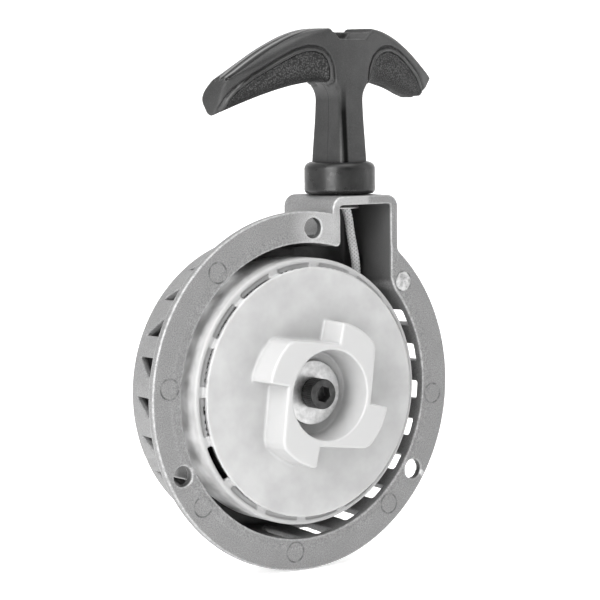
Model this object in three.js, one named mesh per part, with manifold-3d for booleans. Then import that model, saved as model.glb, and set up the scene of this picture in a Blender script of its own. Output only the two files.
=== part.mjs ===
// Recoil (pull) starter for a small two-stroke engine, millimetres, +Z up.
// Origin: on the reel axis, in the plane of the flange face that meets the engine.
// The reel axis is Y, the engine is on the -Y side and the rope is pulled along +Z.

import * as THREE from 'three';
import { mergeVertices } from 'three/addons/utils/BufferGeometryUtils.js';
import Module from 'manifold-3d';

const wasm = await Module();
wasm.setup();

// ---------------------------------------------------------------- driving dimensions

const TAU = 2 * Math.PI;
const GAP = 0.3; // between touching pieces

// Die-cast housing: flange ring, bowl, rope tower and centre post.
const FLANGE_R = 61;
const FLANGE_T = 3;
const FLANGE_EDGE = 0.6; // bevel round the rim
const BOWL_DEPTH = 30; // flange face to back face
const BOWL_MOUTH_R = 50.3;
const BOWL_WALL_FRONT_R = 53.4;
const BOWL_WALL_BACK_R = 51.4;
const BOWL_INNER_BACK_R = 48.8;
const BACK_WALL = 2.7;
const BACK_CORNER = 3;
const HOLE_PITCH_R = 55.3;
const HOLE_R = 3.5;
const HOLE_FIRST_DEG = 86.1;
const SCREW_RELIEF_R = 4.2;
const POST_R = 6;
const POST_END_Y = -2.7;
const POST_BORE_R = 3.2;
const POST_BORE_END_Y = 14;
const POST_FOOT_R = 9;

const TOWER_CENTRE_X = 26;
const TOWER_HALF = 13.8;
const TOWER_INNER_HALF = 10.9;
const TOWER_TOP_Z = 65.4;
const TOWER_ROOF = 3;
const TOWER_CORNER = 4;
const ROPE_X = TOWER_CENTRE_X;
const ROPE_Y = BOWL_DEPTH / 2;
const ROOF_HOLE_R = 5;

// Rope eyelet: a tube in the roof hole with a flared skirt below it.
const EYELET_BORE_R = 3.6;
const EYELET_EDGE = 0.6;
const SKIRT_TOP_R = 5.4;
const SKIRT_R = 6.6;
const SKIRT_DEEP = 1.5;

// Louvre windows in the bowl wall, in two runs of equal pitch.
const WINDOW_PITCH_DEG = 15;
const WINDOW_WIDTH_DEG = 7;
const WINDOW_RUNS = [
  { first: 123.5, count: 8, slide: 168.5 },
  { first: 251, count: 10, slide: 281 },
];
const WINDOW_FRONT_Y = 3.2;
const WINDOW_SHORT_Y = 18;
const WINDOW_LONG_Y = 25;

// Drive cup: raised front disc with four claws, a slotted ledge round it and the drum wall.
const CUP_R = 45.3;
const CUP_WALL = 2.3;
const CUP_FACE_R = 42.4;
const CUP_FACE_EDGE = 0.5;
const CUP_LEDGE_Y = -1.2;
const CUP_LEDGE_EDGE = 0.8;
const CUP_INSIDE_EDGE_R = 40.6;
const CUP_INSIDE_EDGE_DEEP = 2.2;
const CUP_FACE_Y = -3.4;
const CUP_DISC_T = 2.5;
const CUP_BACK_Y = 14.8;
const CUP_HUB_R = 9;
const CUP_HUB_BACK_Y = 13.9;
const CUP_BORE_R = 6.4;
const SLOT_COUNT = 16;
const SLOT_FIRST_DEG = 7.2;
const SLOT_WIDTH_DEG = 17.5;
const SLOT_INNER_R = 41.9; // a little under the disc
const SLOT_OUTER_R = 43.6;
const SLOT_TOP_Y = -2.6;
const SLOT_FLOOR_Y = -0.6;
const HOOK_SLOT = 9; // goes right through, for the hooked outer end of the buffer spring

const CLAW_COUNT = 4;
const CLAW_FRONT_Y = -14.4;
const CLAW_HOOK_DEG = -13.7;
const CLAW_TIP_R = 24.9;
const CLAW_ROOT_R = 17.5;
const CLAW_ARC_DEG = 34;
const CLAW_CORNER_DEG = 44;
const CLAW_CORNER_R = 22.4;
const RECESS_FRONT_R = 15.3;
const RECESS_BACK_R = 14.3;
const RECESS_FLOOR_Y = -2.5;

// Rope pulley, behind the cup.
const PULLEY_R = 44;
const GROOVE_R = 31.5;
const PULLEY_RING_R = 29;
const PULLEY_FRONT_Y = 15.2;
const GROOVE_FRONT_Y = 16.3;
const GROOVE_BACK_Y = 19.9;
const PULLEY_BACK_Y = 20.8;
const PULLEY_WEB_FRONT_Y = 17.2;
const PULLEY_WEB_BACK_Y = 19.2;
const PULLEY_HUB_R = 9.6;
const PULLEY_HUB_BACK_Y = 26;
const PULLEY_BORE_R = 6.4;
const PEG_R = 2;
const PEG_AT_R = 13;
const PEG_FRONT_Y = 3.5;
const KNOT_ANGLE_DEG = 250;
const KNOT_AT_R = 22.5;
const KNOT_POCKET_R = 5;

// Springs: flat strip wound in a spiral.
const CASE_R = 34;
const CASE_WALL = 0.8;
const CASE_FRONT_Y = 21.2;
const CASE_BACK_Y = 27;
const CASE_HOLE_R = 11;
const RECOIL = { inner: 10.4, outer: 32.2, turns: 6, strip: 0.7, front: 21.5, back: 25.9 };
const BUFFER = { inner: 15.9, outer: 42.3, turns: 4, strip: 0.9, front: 1.6, back: 11.6 };
const SPIRAL_STEPS = 26; // per turn

// Rope.
const ROPE_R = 1.5;
const COIL_OUTER_R = 40.3;
const COIL_CLEAR_R = COIL_OUTER_R + ROPE_R + GAP;
const ROPE_GROOVE_Y = (GROOVE_FRONT_Y + GROOVE_BACK_Y) / 2;
const ROPE_SPLIT_Z = 66;
const ROPE_SIDES = 8;

// Retaining screw and washers.
const SCREW_HEAD_R = 5.1;
const SCREW_HEAD_FRONT_Y = -10.5;
const SCREW_HEAD_BACK_Y = -4.4;
const SCREW_SHANK_R = 2.9;
const SCREW_END_Y = 12;
const SOCKET_FLATS = 5;
const SOCKET_DEPTH = 3.2;
const WASHER_R = 10.9;
const WASHER_BORE_R = 3.2;
const WASHER_FRONT_Y = -4.3;
const WASHER_BACK_Y = -3;
const THRUST_R = 9.4;
const THRUST_FRONT_Y = 14.2;
const THRUST_BACK_Y = 14.9;

// T-handle, built about its own axis and turned on the rope by HANDLE_YAW_DEG.
const HANDLE_YAW_DEG = 9.5;
const COLLAR_R = 12.3;
const COLLAR_BOTTOM_Z = TOWER_TOP_Z + GAP;
const COLLAR_TOP_Z = 76.8;
const COLLAR_EDGE = 2.4;
const COLLAR_BORE_R = 2.2;
const STEM_FOOT_Z = 74.2;
const STEM_HALF_ALONG = 5.6; // half widths at the waist, along the bar and across it
const STEM_HALF_ACROSS = 6.8;
const STEM_CORNER = 1.8;
const STEM_FOOT_GROWS = 1; // added to both half widths at the foot
const STEM_LEVELS = [
  [STEM_FOOT_Z, STEM_FOOT_GROWS],
  [80, 0.75],
  [86, 0.45],
  [91, 0.2],
  [97, 0],
  [112, 0.2],
];
const BAR_HALF = 50.5;
const BAR_HALF_THICK = 7.1; // in the middle
const BAR_END_THINNER = 3.1; // taken off that half thickness at the ends
const BAR_SWEEP = 6.3; // how far the ends lie behind the middle
const BAR_LEAN = 5; // how much further back the ends lie halfway down
const BAR_KEEL = 0.32; // half thickness at the underside, as a share
const BAR_KEEL_THINS = 0.6; // share of that taken off at the ends
const BAR_WIDEST_AT = 0.62; // share of the height where the section is full
const BAR_ROUNDNESS = 2.2; // power of the curve from the underside to there
const BAR_END_BULGE = 0.3;
const BAR_LEAN_REACH = 1.6; // how soon below the top the lean is complete
const NOTCH_HALF_TOP = 10.2;
const NOTCH_HALF_FLOOR = 6.3;
const NOTCH_FLOOR_Z = 118.9;
const NOTCH_WALL_Y = 3.4; // the wall behind the notch starts here
const NOTCH_WALL_Z = 121.5;
const CREST_Z = 122.6; // top of the bar at the notch
const POCKET_R = 4.8;
const POCKET_FLOOR_Z = 107.6;
const STEM_BORE_R = 2;
const KNOT_WASHER_R = 4.4;
const KNOT_WASHER_T = 0.9;
const HANDLE_KNOT_R = 3.6;
const PAD_CORE_HALF = 2.2; // half thickness of the rib that the grip pads wrap
const PAD_WRAP = 2.4; // pad thickness below that rib
const CORE_BITE = 2; // how far the rib runs into the frame round the pad

// ---------------------------------------------------------------- materials

function finish(color, roughness, metalness) {
  return new THREE.MeshStandardMaterial({ color, roughness, metalness });
}

const castAluminium = finish(0xa3a4a5, 0.55, 0.85);
const whiteNylon = finish(0xe4e3df, 0.45, 0);
const blackPlastic = finish(0x3b3b3d, 0.5, 0);
const softGrip = finish(0x333335, 0.85, 0);
const blackRubber = finish(0x262628, 0.35, 0);
const brightSteel = finish(0xc4c4c2, 0.35, 0.95);
const springSteel = finish(0x4a4a4e, 0.35, 0.9);
const blackOxide = finish(0x2b2b2d, 0.4, 0.7);
const ropeNylon = finish(0xd6d5d0, 0.8, 0);

// ---------------------------------------------------------------- helpers

const rad = (deg) => (deg * Math.PI) / 180;
const polar = (r, deg) => [r * Math.cos(rad(deg)), r * Math.sin(rad(deg))];
const point2 = ([x, y]) => new THREE.Vector2(x, y);

function signedVolume(geometry) {
  const position = geometry.attributes.position;
  const index = geometry.index;
  const corner = [new THREE.Vector3(), new THREE.Vector3(), new THREE.Vector3()];
  let total = 0;
  for (let i = 0; i < index.count; i += 3) {
    corner.forEach((v, k) => v.fromBufferAttribute(position, index.getX(i + k)));
    total += corner[0].dot(corner[1].clone().cross(corner[2]));
  }
  return total / 6;
}

// Merged vertices, no empty triangles, and faces pointing out.
function closed(geometry) {
  const bare = geometry.clone();
  bare.deleteAttribute('normal');
  bare.deleteAttribute('uv');
  const merged = mergeVertices(bare, 1e-4);
  const source = merged.index;
  const kept = [];
  for (let i = 0; i < source.count; i += 3) {
    const [a, b, c] = [source.getX(i), source.getX(i + 1), source.getX(i + 2)];
    if (a !== b && b !== c && a !== c) kept.push(a, b, c);
  }
  merged.setIndex(kept);
  if (signedVolume(merged) < 0) {
    for (let i = 0; i < kept.length; i += 3) [kept[i + 1], kept[i + 2]] = [kept[i + 2], kept[i + 1]];
    merged.setIndex(kept);
  }
  return merged;
}

function solid(geometry) {
  const whole = closed(geometry);
  const vertProperties = new Float32Array(whole.attributes.position.array);
  const triVerts = new Uint32Array(whole.index.array);
  return new wasm.Manifold(new wasm.Mesh({ numProp: 3, vertProperties, triVerts }));
}

function surface(manifold) {
  const mesh = manifold.getMesh();
  const geometry = new THREE.BufferGeometry();
  const xyz = new Float32Array(mesh.numVert * 3);
  for (let i = 0; i < mesh.numVert; i++) {
    for (let k = 0; k < 3; k++) xyz[3 * i + k] = mesh.vertProperties[mesh.numProp * i + k];
  }
  geometry.setAttribute('position', new THREE.BufferAttribute(xyz, 3));
  geometry.setIndex(new THREE.BufferAttribute(new Uint32Array(mesh.triVerts), 1));
  geometry.computeVertexNormals();
  return geometry;
}

const join = (solids) => solids.reduce((a, b) => a.add(b));
const cut = (body, tools) => tools.reduce((a, b) => a.subtract(b), body);

// A turned solid about Y: the profile is [radius, y] pairs, on the axis at both ends or a ring.
function turned(profile, segments, ring = false) {
  const points = profile.map(point2);
  if (ring) points.push(points[0].clone());
  return new THREE.LatheGeometry(points, segments);
}

const disc = (r, y0, y1, segments) => turned([[0, y0], [r, y0], [r, y1], [0, y1]], segments);

// The same turned about a vertical axis at (x, y).
function upright(geometry, x = 0, y = 0) {
  return geometry.rotateX(Math.PI / 2).translate(x, y, 0);
}

// An outline in X and Z, thick from y0 to y1.
function prism(shape, y0, y1, curveSegments = 6) {
  const options = { depth: y1 - y0, bevelEnabled: false, curveSegments };
  return new THREE.ExtrudeGeometry(shape, options).rotateX(Math.PI / 2).translate(0, y1, 0);
}

function outline(points) {
  return new THREE.Shape(points.map(point2));
}

function roundedRect(x0, z0, x1, z1, r) {
  const shape = new THREE.Shape();
  shape.moveTo(x0 + r, z0);
  shape.lineTo(x1 - r, z0);
  shape.absarc(x1 - r, z0 + r, r, -Math.PI / 2, 0, false);
  shape.lineTo(x1, z1 - r);
  shape.absarc(x1 - r, z1 - r, r, 0, Math.PI / 2, false);
  shape.lineTo(x0 + r, z1);
  shape.absarc(x0 + r, z1 - r, r, Math.PI / 2, Math.PI, false);
  shape.lineTo(x0, z0 + r);
  shape.absarc(x0 + r, z0 + r, r, Math.PI, 1.5 * Math.PI, false);
  return shape;
}

function tube(points, radius, steps) {
  const section = new THREE.Shape();
  section.absarc(0, 0, radius, 0, TAU, false);
  const extrudePath = new THREE.CatmullRomCurve3(points.map((p) => new THREE.Vector3(...p)));
  const curveSegments = ROPE_SIDES / 2;
  return new THREE.ExtrudeGeometry(section, { steps, extrudePath, curveSegments });
}

function node(name, geometry, material, parent) {
  const mesh = new THREE.Mesh(geometry, material);
  mesh.name = name;
  parent.add(mesh);
  return mesh;
}

// ---------------------------------------------------------------- housing

function bowlOuter() {
  const corner = BOWL_DEPTH - BACK_CORNER;
  const bend = BACK_CORNER * (1 - Math.SQRT1_2);
  return turned(
    [
      [0, 0],
      [FLANGE_R - FLANGE_EDGE, 0],
      [FLANGE_R, FLANGE_EDGE],
      [FLANGE_R, FLANGE_T - FLANGE_EDGE],
      [FLANGE_R - FLANGE_EDGE, FLANGE_T],
      [BOWL_WALL_FRONT_R, FLANGE_T],
      [BOWL_WALL_BACK_R, corner],
      [BOWL_WALL_BACK_R - bend, BOWL_DEPTH - bend],
      [BOWL_WALL_BACK_R - BACK_CORNER, BOWL_DEPTH],
      [0, BOWL_DEPTH],
    ],
    60,
  );
}

function bowlInner() {
  const floor = BOWL_DEPTH - BACK_WALL;
  const fillet = 1.5;
  return turned(
    [
      [0, -1],
      [BOWL_MOUTH_R, -1],
      [BOWL_MOUTH_R, FLANGE_T],
      [BOWL_INNER_BACK_R, floor - fillet],
      [BOWL_INNER_BACK_R - fillet, floor],
      [0, floor],
    ],
    60,
  );
}

function towerOuter() {
  const left = TOWER_CENTRE_X - TOWER_HALF;
  const right = TOWER_CENTRE_X + TOWER_HALF;
  return prism(roundedRect(left, 20, right, TOWER_TOP_Z, TOWER_CORNER), 0, BOWL_DEPTH);
}

function towerInner() {
  const left = TOWER_CENTRE_X - TOWER_INNER_HALF;
  const right = TOWER_CENTRE_X + TOWER_INNER_HALF;
  const roof = TOWER_TOP_Z - TOWER_ROOF;
  return prism(roundedRect(left, 5, right, roof, 1.2), -1, BOWL_DEPTH - BACK_WALL, 2);
}

// One louvre window: square end at the flange, raked end at the back, cut straight outwards.
function windowTool(centre, slide) {
  const half = WINDOW_WIDTH_DEG / 2;
  const reach = 58;
  const start = 44;
  const away = Math.sign(centre - slide) || 1;
  const tip = (side) => (side === away ? WINDOW_SHORT_Y : WINDOW_LONG_Y);
  const width = 2 * BOWL_MOUTH_R * Math.tan(rad(half));
  const shape = outline([
    [-width / 2, WINDOW_FRONT_Y],
    [width / 2, WINDOW_FRONT_Y],
    [width / 2, tip(1)],
    [-width / 2, tip(-1)],
  ]);
  const depth = reach - start;
  const tool = new THREE.ExtrudeGeometry(shape, { depth, bevelEnabled: false });
  // shape x is tangential, shape y is along Y, and the depth is radial
  tool.translate(0, 0, start);
  const radial = new THREE.Vector3(Math.cos(rad(centre)), 0, Math.sin(rad(centre)));
  const along = new THREE.Vector3(0, 1, 0);
  const tangent = new THREE.Vector3(-radial.z, 0, radial.x);
  tool.applyMatrix4(new THREE.Matrix4().makeBasis(tangent, along, radial));
  return solid(tool);
}

function windowTools() {
  return WINDOW_RUNS.flatMap(({ first, count, slide }) =>
    Array.from({ length: count }, (_, i) => windowTool(first + i * WINDOW_PITCH_DEG, slide)),
  );
}

function holeTools() {
  return [0, 120, 240].flatMap((turn) => {
    const [x, z] = polar(HOLE_PITCH_R, HOLE_FIRST_DEG + turn);
    const bore = solid(disc(HOLE_R, -1, FLANGE_T + 1, 20).translate(x, 0, z));
    const relief = solid(disc(SCREW_RELIEF_R, FLANGE_T, BOWL_DEPTH + 1, 20).translate(x, 0, z));
    return [bore, relief];
  });
}

function housing() {
  const shell = cut(join([solid(bowlOuter()), solid(towerOuter())]), [
    solid(bowlInner()),
    solid(towerInner()),
    ...windowTools(),
    ...holeTools(),
    solid(upright(disc(ROOF_HOLE_R, TOWER_TOP_Z - 5, TOWER_TOP_Z + 1, 24), ROPE_X, ROPE_Y)),
  ]);
  const floor = BOWL_DEPTH - BACK_WALL;
  const post = solid(
    turned(
      [
        [0, POST_END_Y],
        [POST_R, POST_END_Y],
        [POST_R, PULLEY_HUB_BACK_Y + GAP],
        [POST_FOOT_R, PULLEY_HUB_BACK_Y + GAP],
        [POST_FOOT_R, floor + 1],
        [0, floor + 1],
      ],
      28,
    ),
  );
  const bore = solid(disc(POST_BORE_R, POST_END_Y - 1, POST_BORE_END_Y, 20));
  return surface(shell.add(post).subtract(bore));
}

function eyelet() {
  const under = TOWER_TOP_Z - TOWER_ROOF - GAP;
  const top = TOWER_TOP_Z - 0.1;
  const ring = turned(
    [
      [EYELET_BORE_R, under - SKIRT_DEEP + EYELET_EDGE],
      [EYELET_BORE_R + EYELET_EDGE, under - SKIRT_DEEP],
      [SKIRT_R, under - SKIRT_DEEP],
      [SKIRT_R, under - SKIRT_DEEP + EYELET_EDGE],
      [SKIRT_TOP_R, under],
      [ROOF_HOLE_R - GAP, under],
      [ROOF_HOLE_R - GAP, top],
      [EYELET_BORE_R + EYELET_EDGE, top],
      [EYELET_BORE_R, top - EYELET_EDGE],
    ],
    24,
    true,
  );
  return surface(solid(upright(ring, ROPE_X, ROPE_Y)));
}

// ---------------------------------------------------------------- springs

// A flat strip in a spiral, as one closed outline between its two faces.
function spiral({ inner, outer, turns, strip, front, back }) {
  const count = Math.round(turns * SPIRAL_STEPS);
  const side = (offset) =>
    Array.from({ length: count + 1 }, (_, i) => {
      const t = i / count;
      return polar(inner + (outer - inner) * t + offset, 360 * turns * t);
    });
  const points = [...side(strip / 2), ...side(-strip / 2).reverse()];
  return closed(prism(outline(points), front, back));
}

function springCase() {
  const floor = CASE_BACK_Y - CASE_WALL;
  const profile = [
    [CASE_HOLE_R, floor],
    [CASE_R - CASE_WALL, floor],
    [CASE_R - CASE_WALL, CASE_FRONT_Y],
    [CASE_R, CASE_FRONT_Y],
    [CASE_R, CASE_BACK_Y],
    [CASE_HOLE_R, CASE_BACK_Y],
  ];
  return closed(turned(profile, 40, true));
}

// ---------------------------------------------------------------- pulley and cup

function pulley() {
  const body = turned(
    [
      [PULLEY_BORE_R, PULLEY_FRONT_Y],
      [PULLEY_HUB_R, PULLEY_FRONT_Y],
      [PULLEY_HUB_R, PULLEY_WEB_FRONT_Y],
      [PULLEY_RING_R, PULLEY_WEB_FRONT_Y],
      [PULLEY_RING_R, PULLEY_FRONT_Y],
      [PULLEY_R, PULLEY_FRONT_Y],
      [PULLEY_R, GROOVE_FRONT_Y],
      [GROOVE_R, GROOVE_FRONT_Y],
      [GROOVE_R, GROOVE_BACK_Y],
      [PULLEY_R, GROOVE_BACK_Y],
      [PULLEY_R, PULLEY_BACK_Y],
      [PULLEY_RING_R, PULLEY_BACK_Y],
      [PULLEY_RING_R, PULLEY_WEB_BACK_Y],
      [PULLEY_HUB_R, PULLEY_WEB_BACK_Y],
      [PULLEY_HUB_R, PULLEY_HUB_BACK_Y],
      [PULLEY_BORE_R, PULLEY_HUB_BACK_Y],
    ],
    44,
    true,
  );
  const peg = disc(PEG_R, PEG_FRONT_Y, PULLEY_WEB_FRONT_Y + 1, 12).translate(PEG_AT_R, 0, 0);
  const [x, z] = polar(KNOT_AT_R, KNOT_ANGLE_DEG);
  const pocket = disc(KNOT_POCKET_R, PULLEY_FRONT_Y - 1, PULLEY_BACK_Y + 1, 16).translate(x, 0, z);
  const passage = radialRod(ROPE_R + GAP, KNOT_AT_R, GROOVE_R + 1, 12);
  return surface(cut(solid(body).add(solid(peg)), [solid(pocket), solid(passage)]));
}

// A round rod pointing out from the reel axis at the rope's anchor.
function radialRod(radius, from, to, segments) {
  const rod = disc(radius, from, to, segments); // along Y
  const spin = rad(KNOT_ANGLE_DEG) - Math.PI / 2;
  return rod.rotateX(Math.PI / 2).rotateY(-spin).translate(0, ROPE_GROOVE_Y, 0);
}

function anchorKnot() {
  const [x, z] = polar(KNOT_AT_R, KNOT_ANGLE_DEG);
  const knot = new THREE.SphereGeometry(3.4, 14, 9).scale(1, 0.8, 1).translate(x, ROPE_GROOVE_Y, z);
  const tail = radialRod(ROPE_R, KNOT_AT_R, GROOVE_R - GAP, 10);
  return surface(solid(knot).add(solid(tail)));
}

function clawOutline() {
  const points = [];
  for (let k = 0; k < CLAW_COUNT; k++) {
    const hook = CLAW_HOOK_DEG - (k * 360) / CLAW_COUNT;
    points.push(polar(CLAW_ROOT_R, hook), polar(CLAW_TIP_R - 0.9, hook));
    for (let i = 0; i <= 6; i++) {
      points.push(polar(CLAW_TIP_R, hook - 3 - ((CLAW_ARC_DEG - 3) * i) / 6));
    }
    points.push(polar(CLAW_TIP_R - 0.8, hook - CLAW_ARC_DEG - 5));
    points.push(polar(CLAW_CORNER_R, hook - CLAW_CORNER_DEG));
  }
  return outline(points.reverse());
}

function slotTool(index) {
  const centre = SLOT_FIRST_DEG + (index * 360) / SLOT_COUNT;
  const floor = index === HOOK_SLOT ? CUP_FACE_Y + 2 * CUP_DISC_T : SLOT_FLOOR_Y;
  const from = rad(centre - SLOT_WIDTH_DEG / 2);
  const to = rad(centre + SLOT_WIDTH_DEG / 2);
  const shape = new THREE.Shape();
  shape.absarc(0, 0, SLOT_OUTER_R, from, to, false);
  shape.absarc(0, 0, SLOT_INNER_R, to, from, true);
  return solid(prism(shape, SLOT_TOP_Y, floor, 3));
}

function cup() {
  const inside = CUP_FACE_Y + CUP_DISC_T;
  const shell = turned(
    [
      [0, CUP_FACE_Y],
      [CUP_FACE_R - CUP_FACE_EDGE, CUP_FACE_Y],
      [CUP_FACE_R, CUP_FACE_Y + CUP_FACE_EDGE],
      [CUP_FACE_R, CUP_LEDGE_Y],
      [CUP_R - CUP_LEDGE_EDGE, CUP_LEDGE_Y],
      [CUP_R, CUP_LEDGE_Y + CUP_LEDGE_EDGE],
      [CUP_R, CUP_BACK_Y],
      [CUP_R - CUP_WALL, CUP_BACK_Y],
      [CUP_R - CUP_WALL, inside + CUP_INSIDE_EDGE_DEEP],
      [CUP_INSIDE_EDGE_R, inside],
      [CUP_HUB_R, inside],
      [CUP_HUB_R, CUP_HUB_BACK_Y],
      [0, CUP_HUB_BACK_Y],
    ],
    56,
  );
  const claws = prism(clawOutline(), CLAW_FRONT_Y, CUP_FACE_Y + 1);
  const recess = turned(
    [
      [0, CLAW_FRONT_Y - 1],
      [RECESS_FRONT_R, CLAW_FRONT_Y - 1],
      [RECESS_FRONT_R, CLAW_FRONT_Y],
      [RECESS_BACK_R, RECESS_FLOOR_Y],
      [0, RECESS_FLOOR_Y],
    ],
    32,
  );
  const slots = Array.from({ length: SLOT_COUNT }, (_, i) => slotTool(i));
  const bore = disc(CUP_BORE_R, CLAW_FRONT_Y, CUP_HUB_BACK_Y + 1, 28);
  return surface(cut(solid(shell).add(solid(claws)), [solid(recess), solid(bore), ...slots]));
}

// ---------------------------------------------------------------- fasteners

function ringSolid(inner, outer, y0, y1, segments) {
  return closed(turned([[inner, y0], [outer, y0], [outer, y1], [inner, y1]], segments, true));
}

function retainingScrew() {
  const chamfer = 0.5;
  const body = turned(
    [
      [0, SCREW_HEAD_FRONT_Y],
      [SCREW_HEAD_R - chamfer, SCREW_HEAD_FRONT_Y],
      [SCREW_HEAD_R, SCREW_HEAD_FRONT_Y + chamfer],
      [SCREW_HEAD_R, SCREW_HEAD_BACK_Y],
      [SCREW_SHANK_R, SCREW_HEAD_BACK_Y],
      [SCREW_SHANK_R, SCREW_END_Y],
      [0, SCREW_END_Y],
    ],
    24,
  );
  const hexRadius = SOCKET_FLATS / Math.sqrt(3);
  const hex = outline(Array.from({ length: 6 }, (_, i) => polar(hexRadius, 60 * i + 12)));
  const socket = prism(hex, SCREW_HEAD_FRONT_Y - 1, SCREW_HEAD_FRONT_Y + SOCKET_DEPTH);
  return surface(solid(body).subtract(solid(socket)));
}

// ---------------------------------------------------------------- rope

// Leaves the wound rope on a tangent and bears on the side of the eyelet.
function ropeInnerRun() {
  const [entryX, entryZ] = [ROPE_X + 1.75, 60.6];
  const leave = Math.atan2(entryZ, entryX) - Math.acos(COIL_CLEAR_R / Math.hypot(entryX, entryZ));
  const [startX, startZ] = [COIL_CLEAR_R * Math.cos(leave), COIL_CLEAR_R * Math.sin(leave)];
  const along = (t, y) => [startX + (entryX - startX) * t, y, startZ + (entryZ - startZ) * t];
  const path = [
    along(0, ROPE_GROOVE_Y),
    along(0.22, ROPE_GROOVE_Y),
    along(0.42, ROPE_GROOVE_Y - 0.1),
    along(0.6, ROPE_Y + 0.3),
    along(0.72, ROPE_Y - 0.4),
    along(1, ROPE_Y - 1),
    [ROPE_X + 0.7, ROPE_Y - 0.4, 63.4],
    [ROPE_X + 0.2, ROPE_Y, ROPE_SPLIT_Z - GAP],
  ];
  return closed(tube(path, ROPE_R, 14));
}

function ropeOuterRun(top) {
  const path = [
    [0, 0, ROPE_SPLIT_Z],
    [0, 0, (ROPE_SPLIT_Z + top) / 2],
    [0, 0, top],
  ];
  return closed(tube(path, ROPE_R, 6));
}

// ---------------------------------------------------------------- handle

// Heights along the bar, as [distance from the middle, value].
const BAR_TOP = [
  [NOTCH_HALF_TOP, CREST_Z],
  [16, 121.4],
  [23, 118.9],
  [32, 114.6],
  [41.5, 109.6],
  [BAR_HALF, 105.6],
];
const BAR_CROWN = [
  [12, 0.3],
  [20, 1.6],
  [28, 2.6],
  [42, 2.6],
  [BAR_HALF, 0.4],
];
const BAR_UNDER = [
  [13.5, 104.4],
  [22, 103.2],
  [33, 100.2],
  [41, 97.2],
  [BAR_HALF, 93],
];
const BAR_UNDER_RIGHT = [
  [13.5, 104.4],
  [22, 102.8],
  [30, 101.2],
  [38, 99.4],
  [46, 98.9],
  [BAR_HALF, 101.6],
];
const BAR_STATIONS = [0, 10.2, 16, 22, 28, 34, 40, 46, BAR_HALF];
const PAD_RIM = [
  [48.1, 94.5],
  [47.3, 98.4],
  [45.4, 101.2],
  [42.6, 103.5],
  [40, 105.7],
  [34.5, 108.7],
  [30, 111.2],
  [21.5, 114.5],
  [17, 114.6],
  [13.6, 113.3],
  [11, 109.4],
  [9.9, 104.5],
];

// The value at a place on a line of [place, value] points, level beyond both ends.
function lineAt(points, place) {
  const after = points.findIndex(([at]) => at > place);
  if (after === 0) return points[0][1];
  if (after < 0) return points[points.length - 1][1];
  const [[fromAt, from], [toAt, to]] = [points[after - 1], points[after]];
  return from + ((to - from) * (place - fromAt)) / (toAt - fromAt);
}

// The T-bar: a leaf-shaped section, wide at the top, that leans back and thins towards the ends.
// It is no thicker than limit each way and its underside is raised by raise.
function bar(limit = Infinity, raise = 0) {
  const stations = [...BAR_STATIONS.slice(1).map((s) => -s).reverse(), ...BAR_STATIONS];
  const count = stations.length - 1;
  const geometry = new THREE.BoxGeometry(1, 1, 1, count, 2, 4);
  const position = geometry.attributes.position;
  for (let i = 0; i < position.count; i++) {
    const s = stations[Math.round((position.getX(i) + 0.5) * count)];
    const side = 2 * position.getY(i);
    const rise = position.getZ(i) + 0.5;
    const reach = Math.abs(s);
    const share = (reach / BAR_HALF) ** 2;
    const top = lineAt(BAR_TOP, reach);
    const keel = lineAt(BAR_UNDER, reach);
    const floor = (s > 0 ? lineAt(BAR_UNDER_RIGHT, reach) : keel) + raise;
    const z = floor + (top - floor) * rise;
    const height = Math.max(0, (z - keel) / (top - keel));
    const narrow = Math.sqrt(1 - Math.max(0, 1 - height / BAR_WIDEST_AT) ** BAR_ROUNDNESS);
    const foot = BAR_KEEL * (1 - BAR_KEEL_THINS * share);
    const bulge = 1 + BAR_END_BULGE * share * Math.sin(Math.PI * height);
    const half = (BAR_HALF_THICK - BAR_END_THINNER * share) * (foot + (1 - foot) * narrow) * bulge;
    const lean = Math.sin((Math.PI / 2) * Math.min(1, BAR_LEAN_REACH * (1 - height)));
    const back = share * (BAR_SWEEP + BAR_LEAN * lean);
    const crown = side === 0 && rise === 1 ? lineAt(BAR_CROWN, reach) : 0;
    position.setXYZ(i, s, back + side * Math.min(half, limit), z + crown);
  }
  return geometry;
}

function notch() {
  const open = 20; // reaches well past the bar, front and back
  const lip = 1.4; // the slant of the notch's sides carries on above the crest
  const wide = NOTCH_HALF_TOP + lip;
  const points = [
    [-NOTCH_HALF_FLOOR, NOTCH_FLOOR_Z],
    [NOTCH_HALF_FLOOR, NOTCH_FLOOR_Z],
    [wide, CREST_Z + lip],
    [-wide, CREST_Z + lip],
  ];
  const above = 5;
  const behind = new THREE.BoxGeometry(2 * NOTCH_HALF_TOP, open, above);
  behind.translate(0, open / 2, NOTCH_WALL_Z + above / 2);
  return [prism(outline(points), -open, NOTCH_WALL_Y), behind];
}

// The region of one grip pad, from its rim down past the underside.
function padRegion(side, grow) {
  const reach = 30;
  const [outerS] = PAD_RIM[0];
  const [innerS] = PAD_RIM[PAD_RIM.length - 1];
  const rim = PAD_RIM.map(([s, z]) => [s, z + grow]);
  rim[0][0] += grow;
  for (const corner of rim.slice(-3)) corner[0] -= grow;
  const points = [...rim, [innerS - grow, 90], [outerS + grow, 90]];
  const ordered = points.map(([s, z]) => [side * s, z]);
  return prism(outline(side > 0 ? ordered.reverse() : ordered), -reach, reach);
}

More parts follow.
